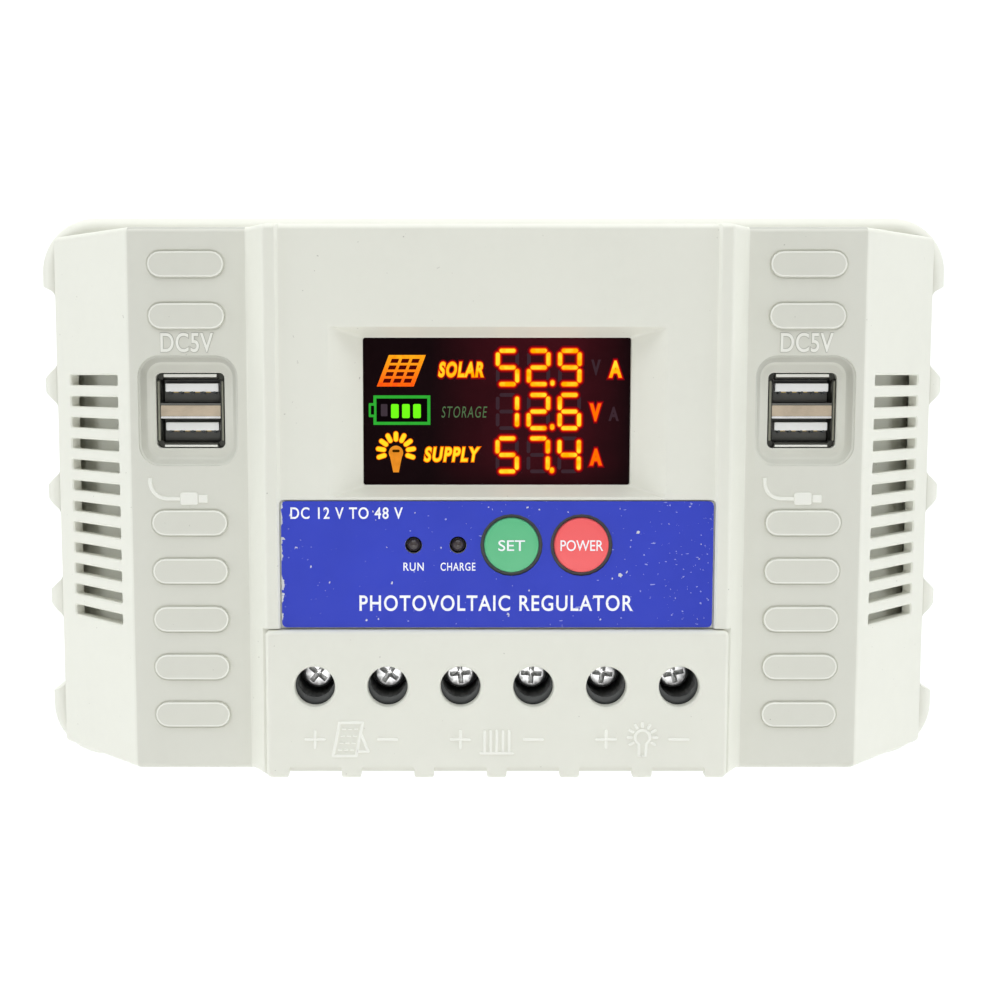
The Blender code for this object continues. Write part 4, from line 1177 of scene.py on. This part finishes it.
SCREW_TURNS = (40.0, 34.0, -5.0, 3.0, 8.0, -12.0)
HEAD_FORWARD = 0.8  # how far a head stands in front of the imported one
THREAD_PITCH = 0.8


def tapered_slot(angle, centre, y, depth):
    """One arm of a cross recess, wedge-shaped, across a screw's head."""
    rings = []
    for place, length, width in ((-1.0, 2.5, 0.62), (0.0, 2.3, 0.56), (depth, 0.5, 0.12)):
        ring = []
        for u, v in ((-length, -width), (length, -width), (length, width), (-length, width)):
            x = u * math.cos(angle) - v * math.sin(angle)
            z = u * math.sin(angle) + v * math.cos(angle)
            ring.append((centre[0] + x, y + place, centre[1] + z))
        rings.append(ring)
    return loft(rings)


def make_terminal_screws():
    for number, turn in enumerate(SCREW_TURNS, start=1):
        node = f"terminal_screw_{number}"
        low, high = extent(node)
        centre = centre_of(node)
        radius = (high[0] - low[0]) / 2
        front, under = low[1] - HEAD_FORWARD, low[1] + 2.3
        profile = [(1.0, front), (radius - 0.7, front + 0.05), (radius - 0.35, front + 0.16)]
        profile += [(radius - 0.1, front + 0.4), (radius, front + 0.8), (radius, under), (2.0, under)]
        y = under + 0.3
        while y < high[1] - 1.0:
            profile += [(2.0, y), (1.72, y + 0.3), (2.0, y + 0.6)]
            y += THREAD_PITCH
        profile += [(2.0, high[1] - 0.5), (1.5, high[1])]
        angle = -math.radians(turn)
        cut = [tapered_slot(angle + quarter, centre, front, 2.0) for quarter in (0, math.pi / 2)]
        shape = carved("screw_looks", turned(profile, centre, 48), cut)
        name, body = f"pole_screw_{number}", f"screw_{number}"
        piece(name, [shape], bright_nickel, body, [node])


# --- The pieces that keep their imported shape


def finish_packed_pieces():
    finishes = [
        (black_plastic, ("terminal_body", "display_module", "power_transistor")),
        (black_plastic, ("menu_switch", "power_switch")),
        (plated_steel, ("clamp_cage", "case_screw")),
        (metal("tinned_copper", (0.66, 0.62, 0.55), 0.36), ("current_bar",)),
        (laminate(), ("front_board", "main_board", "usb_board")),
        (metal("extruded_aluminium", (0.78, 0.78, 0.8), 0.36, (1, 1, 0.05)), ("heat_sink",)),
        (moulded("shrink_sleeve", (0.03, 0.03, 0.055), 0.35), ("capacitor",)),
        (winding(), ("choke",)),
        (moulded("fuse_moulding", (0.85, 0.33, 0.04), 0.25), ("fuse",)),
        (moulded("ribbon_insulation", (0.4, 0.4, 0.42), 0.55), ("ribbon_cable",)),
    ]
    for name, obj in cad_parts.items():
        for material, starts in finishes:
            if name.startswith(starts):
                obj.data.materials[0] = material


# --- Set


def make_backdrop():
    """A pale floor that curves up into a wall."""
    floor, wall, bend, half_width, near = -0.22, 0.95, 0.45, 2.4, -1.6
    profile = [(near, floor)]
    profile += [(wall - bend + y, floor + bend + z) for y, z in arc((0, 0), bend, -90, 0, 16)]
    profile.append((wall, 1.8))
    vertices = [(x, y, z) for x in (-half_width, half_width) for y, z in profile]
    count = len(profile)
    faces = [(i, i + 1, count + i + 1, count + i) for i in range(count - 1)]
    mesh = bpy.data.meshes.new("backdrop")
    mesh.from_pydata(vertices, [], faces)
    mesh.shade_smooth()
    paper = Finish("backdrop_paper", 0.9)
    paper.colour(paper.mix(paper.noise(400, 2), (0.93, 0.93, 0.925), (0.95, 0.95, 0.945)))
    mesh.materials.append(paper.material)
    new_object("backdrop", mesh)


def add_light(name, place, aim, size, power, colour=(1.0, 1.0, 1.0)):
    """A rectangular lamp at a place, in metres, that faces its aim."""
    light = bpy.data.lights.new(name, "AREA")
    light.shape = "RECTANGLE"
    light.size, light.size_y = size
    light.energy = power
    light.color = colour
    obj = bpy.data.objects.new(name, light)
    bpy.context.scene.collection.objects.link(obj)
    obj.location = place
    direction = [aim[i] - place[i] for i in range(3)]
    length = math.hypot(*direction)
    obj.rotation_euler = (
        math.acos(-direction[2] / length),
        0.0,
        math.atan2(direction[1], direction[0]) - math.pi / 2,
    )


def make_set():
    make_backdrop()
    scene = bpy.context.scene
    world = bpy.data.worlds.new("studio")
    world.use_nodes = True
    background = world.node_tree.nodes["Background"]
    background.inputs["Color"].default_value = (1.0, 1.0, 0.99, 1.0)
    background.inputs["Strength"].default_value = 0.22
    scene.world = world
    scene.view_settings.view_transform = "Standard"
    middle = (0.0, -0.03, 0.0)
    cool, warm = (0.93, 0.965, 1.0), (1.0, 0.99, 0.96)
    add_light("front_soft", (0.05, -1.2, 0.75), middle, (1.2, 0.6), 2.0, warm)
    add_light("top_soft", (0.0, -0.45, 1.0), middle, (1.2, 0.5), 5.8, cool)
    add_light("low_soft", (0.0, -0.6, -0.15), middle, (0.36, 0.14), 0.5)
    add_light("left_soft", (-1.1, -0.15, 0.2), middle, (0.5, 0.8), 4.4, cool)
    add_light("right_soft", (1.1, -0.15, 0.2), middle, (0.5, 0.8), 4.4, cool)
    add_light("backdrop_light", (0.0, 0.1, 1.3), (0.0, 0.8, 0.0), (2.0, 0.4), 14.0)
    camera = bpy.data.cameras.new("camera")
    camera.lens = 48.84
    camera.shift_x = 0.0505
    camera.clip_start = 0.01
    obj = bpy.data.objects.new("camera", camera)
    scene.collection.objects.link(obj)
    obj.location = (-0.010, -0.335, 0.0269)
    obj.rotation_euler = (math.radians(90 - 5.28), 0.0, 0.0)
    scene.camera = obj


make_rear_base()
make_front_cover()
make_terminal_cover()
make_markings()
make_label()
make_buttons()
make_lamps()
make_display()
make_usb_sockets()
make_terminal_screws()
finish_packed_pieces()
make_set()
